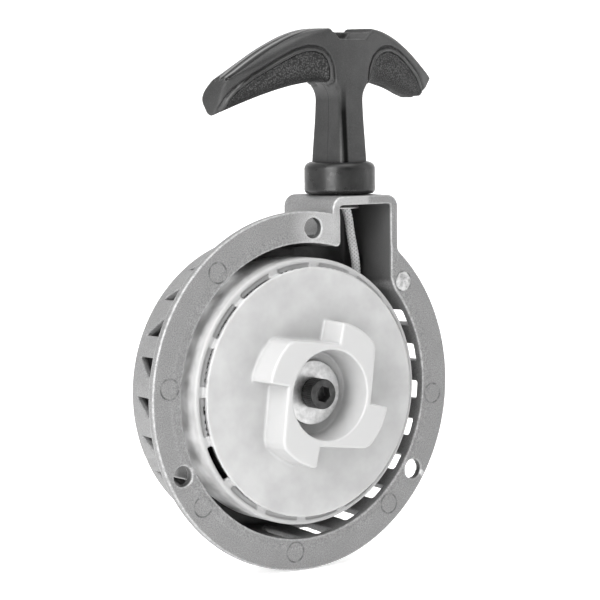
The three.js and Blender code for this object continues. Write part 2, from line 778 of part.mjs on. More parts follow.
function stem() {
  const section = roundedRect(-1, -1, 1, 1, STEM_CORNER / STEM_HALF_ACROSS);
  const steps = STEM_LEVELS.length - 1;
  const options = { depth: 1, steps, bevelEnabled: false, curveSegments: 2 };
  const geometry = new THREE.ExtrudeGeometry(section, options);
  const position = geometry.attributes.position;
  for (let i = 0; i < position.count; i++) {
    const [z, grows] = STEM_LEVELS[Math.round(position.getZ(i) * steps)];
    const x = position.getX(i) * (STEM_HALF_ALONG + grows);
    position.setXYZ(i, x, position.getY(i) * (STEM_HALF_ACROSS + grows), z);
  }
  return geometry;
}

// The rib inside each grip pad, moved by a shift.
function padCore(side, shift) {
  const rib = bar(PAD_CORE_HALF, PAD_WRAP).translate(...shift);
  return solid(rib).intersect(solid(padRegion(side, CORE_BITE)));
}

function handleParts() {
  const whole = cut(solid(bar()), notch().map(solid));
  const drill = (radius, z) => solid(upright(disc(radius, z, 140, 20)));
  const sides = [-1, 1];
  const still = [0, 0, 0];
  const clearances = [still, [GAP, 0, 0], [-GAP, 0, 0], [0, GAP, 0], [0, -GAP, 0], [0, 0, -GAP]];
  const pads = sides.map((side) =>
    surface(
      cut(
        whole.intersect(solid(padRegion(side, 0))),
        clearances.map((shift) => padCore(side, shift)),
      ),
    ),
  );
  const frame = cut(whole, sides.map((side) => solid(padRegion(side, GAP))));
  const joined = join([frame, solid(stem()), ...sides.map((side) => padCore(side, still))]);
  const body = cut(joined, [drill(STEM_BORE_R, 60), drill(POCKET_R, POCKET_FLOOR_Z)]);
  return { body: surface(body), pads };
}

function collar() {
  const seat = STEM_FOOT_Z - GAP;
  const ring = turned(
    [
      [COLLAR_BORE_R, COLLAR_BOTTOM_Z],
      [COLLAR_R - COLLAR_EDGE, COLLAR_BOTTOM_Z],
      [COLLAR_R - 0.6, COLLAR_BOTTOM_Z + 0.8],
      [COLLAR_R, COLLAR_BOTTOM_Z + COLLAR_EDGE],
      [COLLAR_R, COLLAR_TOP_Z - COLLAR_EDGE],
      [COLLAR_R - 0.7, COLLAR_TOP_Z - 0.7],
      [COLLAR_R - COLLAR_EDGE, COLLAR_TOP_Z],
      [COLLAR_BORE_R, COLLAR_TOP_Z],
    ],
    32,
    true,
  );
  const wide = 2 * (STEM_HALF_ALONG + STEM_FOOT_GROWS + GAP);
  const deep = 2 * (STEM_HALF_ACROSS + STEM_FOOT_GROWS + GAP);
  const pocket = new THREE.BoxGeometry(wide, deep, 10).translate(0, 0, seat + 5);
  return surface(solid(upright(ring)).subtract(solid(pocket)));
}

function knotWasher() {
  const bottom = POCKET_FLOOR_Z + GAP;
  const ring = ringSolid(STEM_BORE_R, KNOT_WASHER_R, bottom, bottom + KNOT_WASHER_T, 20);
  return closed(upright(ring));
}

function handleKnot() {
  const bottom = POCKET_FLOOR_Z + 2 * GAP + KNOT_WASHER_T;
  const ball = new THREE.SphereGeometry(HANDLE_KNOT_R, 16, 10).translate(0, 0, bottom + HANDLE_KNOT_R);
  return closed(ball);
}

// ---------------------------------------------------------------- assembly

const starter = new THREE.Group();

const housingGroup = new THREE.Group();
starter.add(housingGroup);
node('starter_housing', housing(), castAluminium, housingGroup);
node('rope_eyelet', eyelet(), brightSteel, housingGroup);
node('spring_case', springCase(), brightSteel, housingGroup);
node('recoil_spring', spiral(RECOIL), springSteel, housingGroup);
const washerGeometry = ringSolid(WASHER_BORE_R, WASHER_R, WASHER_FRONT_Y, WASHER_BACK_Y, 32);
node('retaining_washer', washerGeometry, brightSteel, housingGroup);
node('retaining_screw', retainingScrew(), blackOxide, housingGroup);
node('rope_inner_run', ropeInnerRun(), ropeNylon, housingGroup);

const reelGroup = new THREE.Group();
starter.add(reelGroup);
node('rope_pulley', pulley(), whiteNylon, reelGroup);
const coilFront = GROOVE_FRONT_Y + GAP;
const coilBack = GROOVE_BACK_Y - GAP;
const coil = ringSolid(GROOVE_R + GAP, COIL_OUTER_R, coilFront, coilBack, 40);
node('rope_coil', coil, ropeNylon, reelGroup);
node('rope_anchor_knot', anchorKnot(), ropeNylon, reelGroup);
const thrust = ringSolid(CUP_BORE_R, THRUST_R, THRUST_FRONT_Y, THRUST_BACK_Y, 24);
node('thrust_washer', thrust, brightSteel, reelGroup);
node('buffer_spring', spiral(BUFFER), springSteel, reelGroup);
node('drive_cup', cup(), whiteNylon, reelGroup);

const handleGroup = new THREE.Group();
handleGroup.position.set(ROPE_X, ROPE_Y, 0);
handleGroup.rotation.z = rad(HANDLE_YAW_DEG);
starter.add(handleGroup);
const { body, pads } = handleParts();
node('handle_body', body, blackPlastic, handleGroup);
node('grip_pad_left', pads[0], softGrip, handleGroup);
node('grip_pad_right', pads[1], softGrip, handleGroup);
node('handle_collar', collar(), blackRubber, handleGroup);
node('knot_washer', knotWasher(), brightSteel, handleGroup);
node('rope_handle_knot', handleKnot(), ropeNylon, handleGroup);
node('rope_outer_run', ropeOuterRun(POCKET_FLOOR_Z + GAP + KNOT_WASHER_T), ropeNylon, handleGroup);

export default starter;
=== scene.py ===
import math

import bmesh
import bpy
import numpy as np
from mathutils import Matrix, Vector


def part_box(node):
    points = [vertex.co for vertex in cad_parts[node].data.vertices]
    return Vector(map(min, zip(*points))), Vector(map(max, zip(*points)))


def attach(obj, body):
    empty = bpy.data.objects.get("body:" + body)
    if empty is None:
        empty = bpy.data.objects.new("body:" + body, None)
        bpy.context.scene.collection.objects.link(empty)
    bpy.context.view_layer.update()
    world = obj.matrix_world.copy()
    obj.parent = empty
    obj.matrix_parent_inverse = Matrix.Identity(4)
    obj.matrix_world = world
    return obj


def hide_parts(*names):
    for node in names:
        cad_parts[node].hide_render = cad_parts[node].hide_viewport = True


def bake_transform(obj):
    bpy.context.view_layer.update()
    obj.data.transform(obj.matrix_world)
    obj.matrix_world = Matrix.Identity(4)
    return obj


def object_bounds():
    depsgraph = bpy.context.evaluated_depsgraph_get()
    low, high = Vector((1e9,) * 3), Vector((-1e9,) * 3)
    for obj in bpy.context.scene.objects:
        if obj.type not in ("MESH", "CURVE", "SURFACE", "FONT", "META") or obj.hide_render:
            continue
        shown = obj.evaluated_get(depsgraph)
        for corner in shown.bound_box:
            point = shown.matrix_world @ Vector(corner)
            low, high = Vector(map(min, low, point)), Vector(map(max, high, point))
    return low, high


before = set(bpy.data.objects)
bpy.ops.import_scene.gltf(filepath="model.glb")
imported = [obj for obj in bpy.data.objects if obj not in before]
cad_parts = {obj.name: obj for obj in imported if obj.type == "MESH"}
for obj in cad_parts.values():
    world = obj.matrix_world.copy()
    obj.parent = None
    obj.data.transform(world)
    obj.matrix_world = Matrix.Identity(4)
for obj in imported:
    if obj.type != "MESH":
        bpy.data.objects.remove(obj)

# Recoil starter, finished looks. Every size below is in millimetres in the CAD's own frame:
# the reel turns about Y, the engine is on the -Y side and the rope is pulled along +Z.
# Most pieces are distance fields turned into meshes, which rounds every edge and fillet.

cad_low, cad_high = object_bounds()

MM = 0.001

# ------------------------------------------------------------------ sizes

FLANGE_R = 61.0
FLANGE_T = 3.0
FLANGE_EDGE = 0.55
DEPTH = 30.0
MOUTH_R = 50.3
WALL_FRONT_R = 53.4
WALL_BACK_R = 51.4
INNER_BACK_R = 48.8
BACK_WALL = 2.7
BOWL_EDGE = 3.0
HOLE_AT_R = 55.3
HOLE_R = 3.5
HOLE_FIRST = 86.1
HOLE_TURNS = (0, 120, 240)
RELIEF_R = 4.2
MARK_AT_R = 54.75
MARK_R = 3.4
MARK_FIRST = -5.0
BRIGHT_MARK = 40.0
PIN_MARK_AT_R = 33.0
PIN_MARK_R = 4.0
PIN_MARK_TURN = 22.0
PIN_MARK_DEEP = 0.3
POST_R = 6.0
POST_FOOT_R = 9.0
POST_FRONT = -2.7
TAP_R = 3.2
TAP_END = 14.0

TOWER_X = 26.0
TOWER_HALF = 13.8
TOWER_INNER_HALF = 10.9
TOWER_TOP = 65.4
TOWER_ROOF = 3.0
TOWER_FOOT = 15.0
TOWER_CORNER = 4.2
TOWER_BACK_EDGE = 1.6
PASSAGE_FOOT = 5.0
PASSAGE_CORNER = 1.3
PASSAGE_BLEND = 2.2
ROOF_HOLE_R = 5.0
EYELET_BORE_R = 3.6
EYELET_EDGE = 0.6
SLEEVE_R = 4.7
SKIRT_R = 6.6
SKIRT_TOP_R = 5.4
ROPE_X = TOWER_X
ROPE_Y = DEPTH / 2
ROPE_R = 1.5
BRAID_PITCH = 2.6
BRAID_RISE = 2.4  # radians of the painted braid per millimetre

WINDOW_PITCH = 15.0
WINDOW_WIDTH = 7.0
WINDOW_RUNS = ((123.5, 8, 168.5), (251.0, 10, 281.0))  # first angle, count, mirror angle
WINDOW_FRONT = 3.2
WINDOW_SHORT = 18.0
WINDOW_LONG = 25.0
WINDOW_CORNER = 0.7
WINDOW_INNER_R = 44.0

CUP_R = 45.3
CUP_INNER_R = 43.0
CUP_FACE = -3.4
CUP_INSIDE = -0.9
CUP_BACK = 14.8
CUP_FACE_R = 42.4
CUP_LEDGE = -1.2
CUP_HUB_R = 9.0
CUP_HUB_BACK = 13.9
CUP_BORE_R = 6.4
SLOTS = 16
SLOT_FIRST = 7.2
SLOT_WIDTH = 17.5
SLOT_MID_R = 42.6
SLOT_HALF = 1.0
SLOT_TOP = -2.7
SLOT_FLOOR = -0.75
HOOK_SLOT = 9  # the slot that goes through, for the end of the buffer spring
HOOK_SLOT_FLOOR = 2.0
CLAW_FRONT = -14.4
CLAW_HOOK = -13.7
CLAW_TIP_R = 24.9
CLAW_TIP_TURN = 31.0
CLAW_HEEL_R = 22.4
CLAW_ROOT_R = 17.5
CLAW_DRAFT = 0.02
CLAW_EDGE = 0.75
RECESS_R = 15.3
RECESS_FLOOR_R = 14.3
RECESS_FLOOR = -2.5

PULLEY_R = 44.0
PULLEY_FRONT = 15.2
PULLEY_BACK = 20.8
GROOVE_FRONT = 16.3
GROOVE_BACK = 19.9
GROOVE_R = 31.5
PULLEY_RING_R = 29.0
PULLEY_HUB_R = 9.6
PULLEY_HUB_BACK = 26.0
WEB_FRONT = 17.2
WEB_BACK = 19.2
ROPE_PLANE = (GROOVE_FRONT + GROOVE_BACK) / 2
KNOT_ANGLE = 250.0
KNOT_AT_R = 22.5
KNOT_ROOM_R = 5.0
ROPE_PASSAGE_R = 1.8
PEG_AT_R = 13.0
PEG_R = 2.0
PEG_FRONT = 3.5
PULLEY_RIBS = 8
PULLEY_RIB_HALF = 0.7
WOUND_R = 40.3
ROPE_TURNS = 3

CASE_R = 34.0
CASE_HOLE_R = 11.0
CASE_FRONT = 21.2
CASE_BACK = 27.0
STRIP_STEPS = 90  # for each turn of a spring strip
STRIP_EDGE = 0.15

WASHER_R = 10.9
WASHER_FRONT = -4.3
WASHER_BACK = -3.0
SCREW_HEAD_R = 5.1
SCREW_FACE = -10.5
SCREW_HEAD_BACK = -4.4
SCREW_FLATS = 5.0
SCREW_SOCKET_DEEP = 3.2
SCREW_TURN = 12.0
SCREW_TEETH = 44
SCREW_KNURL = 0.14
SCREW_SHANK_R = 2.9
SCREW_END = 12.0

HANDLE_YAW = math.radians(9.5)
COLLAR_R = 12.3
COLLAR_LOW = 65.7
COLLAR_HIGH = 76.8
COLLAR_BORE_R = 2.2
SEAT_WIDER = 1.3
STEM_FOOT = 74.2
STEM_HALF_ALONG = 5.6
STEM_HALF_ACROSS = 6.8
STEM_FILLET = 6.5
BAR_HALF = 50.5
BAR_HALF_THICK = 7.1
BAR_END_THINNER = 3.1
BAR_SWEEP = 6.3
BAR_LEAN = 5.0
BAR_KEEL = 0.32
BAR_WIDEST_AT = 0.62
BAR_ROUNDNESS = 2.2
BAR_END_BULGE = 0.3
BAR_EDGE = 1.5
PAD_CORNER = 0.5
PAD_CORE_HALF = 2.1
PAD_GAP = 0.12
PAD_GROOVE = 1.0
PAD_BEAD = 0.5
PAD_SUNK = 0.35
RIDGE_LINES = (-2.9, -0.5, 1.9)
RIDGE_DEPTH = 1.5
RIDGE_WIDTH = 0.42
NOTCH_FLOOR = 118.9
NOTCH_HALF = 6.3
NOTCH_WALL = 3.4
NOTCH_WALL_TOP = 121.5
ROPE_BORE_R = 2.0
POCKET_R = 4.8
POCKET_FLOOR = 107.6

# ------------------------------------------------------------------ distance fields
# A field gives the signed distance to a surface, negative inside, for arrays of x, y and z.


def union(a, b, r=0.0):
    """Both solids, with a fillet of radius r where they meet."""
    if r == 0:
        return np.minimum(a, b)
    return np.maximum(r, np.minimum(a, b)) - np.hypot(np.maximum(r - a, 0), np.maximum(r - b, 0))


def common(a, b, r=0.0):
    """What both solids share, with edges rounded to radius r."""
    return -union(-a, -b, r)


def minus(a, b, r=0.0):
    return common(a, -b, r)


def between(value, low, high):
    return np.maximum(low - value, value - high)


def rounded_rect(u, v, u0, v0, u1, v1, r):
    du = np.abs(u - (u0 + u1) / 2) - (u1 - u0) / 2 + r
    dv = np.abs(v - (v0 + v1) / 2) - (v1 - v0) / 2 + r
    outside = np.hypot(np.maximum(du, 0), np.maximum(dv, 0))
    return outside + np.minimum(np.maximum(du, dv), 0) - r


def polygon(u, v, points):
    """Distance to a closed outline in a plane."""
    shape = np.broadcast(u, v).shape
    nearest = np.full(shape, np.inf)
    inside = np.zeros(shape, bool)
    for (au, av), (bu, bv) in zip(points, np.roll(points, -1, axis=0)):
        du, dv = bu - au, bv - av
        t = np.clip(((u - au) * du + (v - av) * dv) / (du * du + dv * dv), 0, 1)
        nearest = np.minimum(nearest, np.hypot(u - au - t * du, v - av - t * dv))
        crosses = (av > v) != (bv > v)
        if dv != 0:
            inside ^= crosses & (u < au + (v - av) * du / dv)
    return np.where(inside, -nearest, nearest)


def wrapped(angle):
    """An angle in degrees, brought to between -180 and 180."""
    return (angle + 180) % 360 - 180


def about_reel(x, z):
    """Distance from the reel axis and the angle about it in degrees."""
    return np.hypot(x, z), np.degrees(np.arctan2(z, x))


def polar(r, degrees):
    return r * math.cos(math.radians(degrees)), r * math.sin(math.radians(degrees))


def smooth_curve(points):
    """A smooth curve v(u) through a few points, as a function."""
    points = np.array(points, float)
    slopes = np.gradient(points[:, 1], points[:, 0])

    def curve(u):
        u = np.clip(u, points[0, 0], points[-1, 0])
        i = np.clip(np.searchsorted(points[:, 0], u) - 1, 0, len(points) - 2)
        width = points[i + 1, 0] - points[i, 0]
        t = (u - points[i, 0]) / width
        rise = (1 + 2 * t) * (1 - t) ** 2 * points[i, 1] + t * t * (3 - 2 * t) * points[i + 1, 1]
        return rise + width * (t * (1 - t) ** 2 * slopes[i] - t * t * (1 - t) * slopes[i + 1])

    return curve


# ------------------------------------------------------------------ meshes

CORNERS = np.array([(i, j, k) for i in (0, 1) for j in (0, 1) for k in (0, 1)])
EDGES = np.array([
    (a, b) for a in range(8) for b in range(a, 8)
    if abs(CORNERS[a] - CORNERS[b]).sum() == 1
])
MERGE_SHARE = 0.2  # of a grid step
LARGEST_HOLE = 8  # sides
SETTLE_ROUNDS = 3
SETTLE_PROBE = 0.02
SETTLE_SHARE = 0.4  # of a grid step, the furthest that a point moves in one round
FLATTEST_SLOPE = 0.1


def net(values):
    """The quads where a grid of field values changes sign, by surface nets."""
    inside = values < 0
    nx, ny, nz = (size - 1 for size in values.shape)
    around = sum(
        inside[i: i + nx, j: j + ny, k: k + nz].astype(np.int8)
        for i, j, k in CORNERS
    )
    cells = np.argwhere((around > 0) & (around < 8))
    at_corner = np.stack([values[tuple((cells + corner).T)] for corner in CORNERS], 1)
    a, b = at_corner[:, EDGES[:, 0]], at_corner[:, EDGES[:, 1]]
    cross = (a < 0) != (b < 0)
    t = np.where(cross, a / np.where(cross, a - b, 1), 0)
    start, end = CORNERS[EDGES[:, 0]], CORNERS[EDGES[:, 1]]
    points = (start + t[..., None] * (end - start)) * cross[..., None]
    points = points.sum(1) / cross.sum(1)[:, None] + cells
    number = np.full(around.shape, -1)
    number[tuple(cells.T)] = np.arange(len(cells))
    quads = []
    for axis in range(3):
        u = np.eye(3, dtype=int)[(axis + 1) % 3]
        v = np.eye(3, dtype=int)[(axis + 2) % 3]
        low_side = np.take(inside, range(values.shape[axis] - 1), axis)
        high_side = np.take(inside, range(1, values.shape[axis]), axis)
        edges = np.argwhere(low_side != high_side)
        leaves = low_side[tuple(edges.T)]
        quad = np.stack([number[tuple((edges - step).T)] for step in (0 * u, u, u + v, v)], 1)
        quads.append(np.where(leaves[:, None], quad, quad[:, ::-1]))
    return points, np.concatenate(quads)


def settle(points, field, step):
    """Moves points onto the field's surface."""
    for _ in range(SETTLE_ROUNDS):
        value = field(*points.T)
        slopes = []
        for side in np.eye(3) * SETTLE_PROBE:
            rise = field(*(points + side).T) - field(*(points - side).T)
            slopes.append(rise / (2 * SETTLE_PROBE))
        slope = np.stack(slopes, 1)
        steepness = np.maximum((slope ** 2).sum(1), FLATTEST_SLOPE)
        move = slope * (value / steepness)[:, None]
        reach = np.maximum(np.linalg.norm(move, axis=1), 1e-9)
        points = points - move * np.minimum(1, SETTLE_SHARE * step / reach)[:, None]
    return points


def build(name, points, faces, merge=0.0):
    """A smooth-shaded object from points in millimetres; points closer than merge become one."""
    mesh = bpy.data.meshes.new(name)
    mesh.from_pydata((np.asarray(points) * MM).tolist(), [], faces)
    if merge:
        work = bmesh.new()
        work.from_mesh(mesh)
        bmesh.ops.dissolve_degenerate(work, dist=merge * MM, edges=work.edges)
        loose = [edge for edge in work.edges if not edge.link_faces]
        bmesh.ops.delete(work, geom=loose, context="EDGES")
        rims = [edge for edge in work.edges if edge.is_boundary]
        bmesh.ops.holes_fill(work, edges=rims, sides=LARGEST_HOLE)
        work.to_mesh(mesh)
        work.free()
    mesh.validate()
    mesh.shade_smooth()
    piece = bpy.data.objects.new(name, mesh)
    bpy.context.scene.collection.objects.link(piece)
    return piece


def carve(name, field, low, high, step, keep=1.0):
    """A mesh of a field inside a box, with keep of its triangles left after thinning."""
    low = np.array(low, float) - 1.5 * step
    high = np.array(high, float) + 1.5 * step
    count = np.ceil((high - low) / step).astype(int) + 1
    x, y, z = (low[k] + step * np.arange(count[k]) for k in range(3))
    values = field(x[:, None, None], y[None, :, None], z[None, None, :])
    values = np.broadcast_to(values, count).astype(np.float32)
    points, quads = net(values)
    points = settle(points * step + low, field, step)
    piece = build(name, points, quads.tolist(), MERGE_SHARE * step)
    if keep < 1:
        thin = piece.modifiers.new("thin", "DECIMATE")
        thin.ratio = keep
        freeze(piece)
    return piece


def freeze(piece):
    """Applies a piece's modifiers."""
    bpy.context.view_layer.update()
    ready = piece.evaluated_get(bpy.context.evaluated_depsgraph_get())
    mesh = bpy.data.meshes.new_from_object(ready)
    piece.modifiers.clear()
    piece.data = mesh
    mesh.shade_smooth()


def skin(name, points, sides, closed=False):
    """A piece over rings of points with so many sides each; its ends are flat unless it closes."""
    count = len(points) // sides
    faces = []
    for i in range(count if closed else count - 1):
        a, b = i * sides, (i + 1) % count * sides
        for k in range(sides):
            n = (k + 1) % sides
            faces.append((a + k, a + n, b + n, b + k))
    if not closed:
        faces.append(tuple(reversed(range(sides))))
        faces.append(tuple(range((count - 1) * sides, count * sides)))
    return build(name, points, faces)


def lathe(name, profile, segments=96, axis="Y", at=(0.0, 0.0)):
    """A closed ring turned from (radius, height) points about the reel axis or a vertical one."""
    points = []
    for i in range(segments):
        turn = 2 * math.pi * i / segments
        for radius, height in profile:
            u, v = radius * math.cos(turn), radius * math.sin(turn)
            points.append((u, height, v) if axis == "Y" else (at[0] + u, at[1] - v, height))
    return outward(skin(name, points, len(profile), closed=True))


def rounded(profile, r, bend=4):
    """A closed profile with each corner turned into a small arc that starts r before it."""
    out = []
    count = len(profile)
    for i in range(count):
        before, corner, after = (Vector(profile[(i + k) % count]) for k in (-1, 0, 1))
        back, ahead = before - corner, after - corner
        reach = min(r, back.length * 0.45, ahead.length * 0.45)
        a = corner + back.normalized() * reach
        b = corner + ahead.normalized() * reach
        for k in range(bend + 1):
            t = k / bend
            out.append(tuple(a * (1 - t) ** 2 + corner * 2 * t * (1 - t) + b * t * t))
    return out


def sweep(name, path, radius, sides, closed=False):
    """A tube along a path; radius is a number or a function of (distance along, angle round)."""
    path = [Vector(p) for p in path]
    count = len(path)
    points = []
    side = None
    travelled = 0.0
    for i, here in enumerate(path):
        ahead = path[(i + 1) % count] if closed else path[min(i + 1, count - 1)]
        behind = path[(i - 1) % count] if closed else path[max(i - 1, 0)]
        forward = (ahead - behind).normalized()
        if side is None:
            side = forward.orthogonal().normalized()
        side = (side - forward * side.dot(forward)).normalized()
        up = forward.cross(side)
        travelled += (here - path[i - 1]).length if i else 0.0
        for k in range(sides):
            turn = 2 * math.pi * k / sides
            r = radius(travelled, turn) if callable(radius) else radius
            points.append(here + (side * math.cos(turn) + up * math.sin(turn)) * r)
    return skin(name, points, sides, closed)


def finish_piece(piece, body, material, node):
    """Gives a piece its material and its body, and hides the CAD node that it stands in for."""
    piece.data.materials.clear()
    piece.data.materials.append(material)
    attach(piece, body)
    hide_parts(node)


def outward(piece):
    """Turns a closed mesh's faces to point out."""
    work = bmesh.new()
    work.from_mesh(piece.data)
    bmesh.ops.recalc_face_normals(work, faces=work.faces)
    work.to_mesh(piece.data)
    work.free()
    return piece


# ------------------------------------------------------------------ housing


def mark_turns():
    """The angles of the round marks; there is none where the top hole is."""
    turns = [MARK_FIRST + 45 * k for k in range(8)]
    return [turn for turn in turns if abs(wrapped(turn - HOLE_FIRST)) > 5]


def window_field(angle, rho, y):
    """The louvre windows: square at the flange, raked at the back."""
    half = MOUTH_R * math.tan(math.radians(WINDOW_WIDTH / 2))
    slope = (WINDOW_LONG - WINDOW_SHORT) / (2 * half)
    gaps = np.inf
    for first, count, mirror in WINDOW_RUNS:
        middle = (count - 1) / 2
        from_middle = wrapped(angle - first - WINDOW_PITCH * middle) / WINDOW_PITCH
        nth = np.clip(np.round(from_middle + middle), 0, count - 1)
        centre = first + WINDOW_PITCH * nth
        away = np.where(wrapped(centre - mirror) >= 0, 1, -1)
        across = np.radians(wrapped(angle - centre)) * rho
        back = (y - (WINDOW_LONG + WINDOW_SHORT) / 2 + slope * away * across) / math.hypot(1, slope)
        gap = common(np.abs(across) - half, np.maximum(back, WINDOW_FRONT - y), WINDOW_CORNER)
        gaps = np.minimum(gaps, gap)
    return np.maximum(gaps, WINDOW_INNER_R - rho)


def housing_field(x, y, z):
    """The casting: flange, bowl, tower and post, less the room inside, the windows and the holes."""
    rho, angle = about_reel(x, z)
    lean = (WALL_FRONT_R - WALL_BACK_R) / (DEPTH - FLANGE_T)
    ring = common(rho - FLANGE_R, between(y, 0, FLANGE_T), FLANGE_EDGE)
    bowl = common(rho - WALL_FRONT_R + lean * (y - FLANGE_T), y - DEPTH, BOWL_EDGE)
    tower = rounded_rect(x, z, TOWER_X - TOWER_HALF, TOWER_FOOT, TOWER_X + TOWER_HALF, TOWER_TOP,
                         TOWER_CORNER)
    tower = common(tower, y - DEPTH, TOWER_BACK_EDGE)
    shell = common(union(bowl, tower, 1.5), -y, 0.35)
    shell = union(shell, ring, 0.7)
    narrows = (MOUTH_R - INNER_BACK_R) / (DEPTH - BACK_WALL - FLANGE_T)
    back_inside = y - DEPTH + BACK_WALL
    mouth = common(rho - MOUTH_R + narrows * np.maximum(y - FLANGE_T, 0), back_inside, 1.5)
    passage = rounded_rect(x, z, TOWER_X - TOWER_INNER_HALF, PASSAGE_FOOT, TOWER_X + TOWER_INNER_HALF,
                           TOWER_TOP - TOWER_ROOF, PASSAGE_CORNER)
    passage = common(passage, back_inside, 1.0)
    shell = minus(shell, union(mouth, passage, PASSAGE_BLEND), 0.4)
    shell = minus(shell, window_field(angle, rho, y), 0.35)
    for turn in HOLE_TURNS:
        hx, hz = polar(HOLE_AT_R, HOLE_FIRST + turn)
        away = np.hypot(x - hx, z - hz)
        bore = union(away - HOLE_R, np.maximum(away - RELIEF_R, FLANGE_T - y))
        shell = minus(shell, bore, 0.3)
    for turn in mark_turns():
        kx, kz = polar(PIN_MARK_AT_R, turn + PIN_MARK_TURN)
        dent = np.maximum(np.hypot(x - kx, z - kz) - PIN_MARK_R, np.abs(y - DEPTH) - PIN_MARK_DEEP)
        shell = np.maximum(shell, -dent)
    foot = np.maximum(rho - POST_FOOT_R, PULLEY_HUB_BACK + 0.3 - y)
    post = union(np.maximum(rho - POST_R, POST_FRONT - y), foot, 0.6)
    post = np.maximum(post, y - DEPTH + 1)
    shell = union(shell, post)
    shell = np.maximum(shell, -np.maximum(rho - TAP_R, y - TAP_END))
    roof_hole = np.maximum(np.hypot(x - ROPE_X, y - ROPE_Y) - ROOF_HOLE_R, 50 - z)
    return minus(shell, roof_hole, 0.3)


# ------------------------------------------------------------------ reel


def claw_outline():
    """Four hooked claws in a pinwheel, as one outline in X and Z."""
    tip_steps = 6
    points = []
    for k in range(4):
        hook = CLAW_HOOK - 90 * k
        points += [polar(CLAW_ROOT_R, hook), polar(CLAW_TIP_R - 0.4, hook)]
        points += [polar(CLAW_TIP_R, hook - 3 - CLAW_TIP_TURN * i / tip_steps) for i in range(tip_steps + 1)]
        points += [polar(CLAW_TIP_R - 0.8, hook - 39), polar(CLAW_HEEL_R, hook - 44)]
    return points


def cup_field(x, y, z):
    """The drive cup: raised disc, slotted ledge, claws, recess and hub."""
    rho, angle = about_reel(x, z)
    ledge = common(rho - CUP_R, CUP_LEDGE - y, 1.0)
    cup = union(common(rho - CUP_FACE_R, CUP_FACE - y, 0.7), ledge, 0.2)
    inside = common(rho - CUP_INNER_R, CUP_INSIDE - y, 2.4)
    cup = np.maximum(cup, -inside)
    hub = common(rho - CUP_HUB_R, between(y, CUP_FACE, CUP_HUB_BACK), 0.3)
    cup = union(common(cup, y - CUP_BACK, 0.6), hub, 0.8)
    nth = np.round((angle - SLOT_FIRST) / (360 / SLOTS))
    along = np.abs(wrapped(angle - SLOT_FIRST - nth * 360 / SLOTS)) - SLOT_WIDTH / 2
    hooked = np.abs(nth % SLOTS - HOOK_SLOT) < 0.5
    slot = common(np.abs(rho - SLOT_MID_R) - SLOT_HALF, np.radians(along) * SLOT_MID_R, 0.35)
    slot = np.maximum(slot, between(y, SLOT_TOP, np.where(hooked, HOOK_SLOT_FLOOR, SLOT_FLOOR)))
    cup = minus(cup, slot, 0.2)
    outline = polygon(x, z, claw_outline())
    draft = CLAW_DRAFT * (y - CLAW_FRONT)
    claws = common(outline - draft, between(y, CLAW_FRONT, CUP_INSIDE), CLAW_EDGE)
    cup = union(cup, claws, 0.8)
    taper = (RECESS_R - RECESS_FLOOR_R) / (RECESS_FLOOR - CLAW_FRONT)
    recess = common(rho - RECESS_R + taper * (y - CLAW_FRONT), y - RECESS_FLOOR, 0.5)
    cup = minus(cup, recess, 0.5)
    return np.maximum(cup, CUP_BORE_R - rho)


def pulley_field(x, y, z):
    """The rope pulley: groove, ribbed web, hub, spring peg and the knot's pocket and passage."""
    rho, angle = about_reel(x, z)
    body = common(rho - PULLEY_R, between(y, PULLEY_FRONT, PULLEY_BACK), 0.5)
    groove = common(GROOVE_R - rho, between(y, GROOVE_FRONT, GROOVE_BACK), 0.4)
    body = minus(body, groove, 0.3)
    dish = common(rho - PULLEY_RING_R, -between(y, WEB_FRONT, WEB_BACK), 0.8)
    body = minus(body, dish, 0.3)
    ribs = np.abs(wrapped(angle * PULLEY_RIBS)) / PULLEY_RIBS
    ribs = np.maximum(np.radians(ribs) * rho - PULLEY_RIB_HALF, rho - PULLEY_RING_R - 1)
    ribs = np.maximum(ribs, between(y, PULLEY_FRONT + 0.5, WEB_FRONT + 1))
    body = union(body, ribs, 0.5)
    hub = common(rho - PULLEY_HUB_R, between(y, PULLEY_FRONT, PULLEY_HUB_BACK), 0.4)
    body = union(body, hub, 0.6)
    peg = np.maximum(np.hypot(x - PEG_AT_R, z) - PEG_R, between(y, PEG_FRONT, WEB_FRONT + 1))
    body = union(body, peg, 0.6)
    kx, kz = polar(KNOT_AT_R, KNOT_ANGLE)
    body = minus(body, np.hypot(x - kx, z - kz) - KNOT_ROOM_R, 0.3)
    ux, uz = kx / KNOT_AT_R, kz / KNOT_AT_R
    out = x * ux + z * uz
    passage = np.hypot(z * ux - x * uz, y - ROPE_PLANE) - ROPE_PASSAGE_R
    passage = np.maximum(passage, between(out, KNOT_AT_R, GROOVE_R + 1))
    return np.maximum(np.maximum(body, -passage), CUP_BORE_R - rho)


def screw_field(x, y, z):
    """A socket cap screw with a knurled head."""
    rho, angle = about_reel(x, z)
    knurled = (y > SCREW_FACE + 0.9) * (y < SCREW_HEAD_BACK - 0.5)
    teeth = SCREW_KNURL * np.abs(np.sin(np.radians(angle * SCREW_TEETH / 2))) * knurled
    head = common(rho - SCREW_HEAD_R + teeth, between(y, SCREW_FACE, SCREW_HEAD_BACK), 0.45)
    turned = np.radians(wrapped((angle - SCREW_TURN) * 6) / 6)
    flats = rho * np.cos(turned) - SCREW_FLATS / 2
    socket = np.maximum(flats, y - SCREW_FACE - SCREW_SOCKET_DEEP)
    head = minus(head, socket, 0.2)
    shank = common(rho - SCREW_SHANK_R, between(y, SCREW_HEAD_BACK - 1, SCREW_END), 0.4)
    return union(head, shank)


# ------------------------------------------------------------------ handle

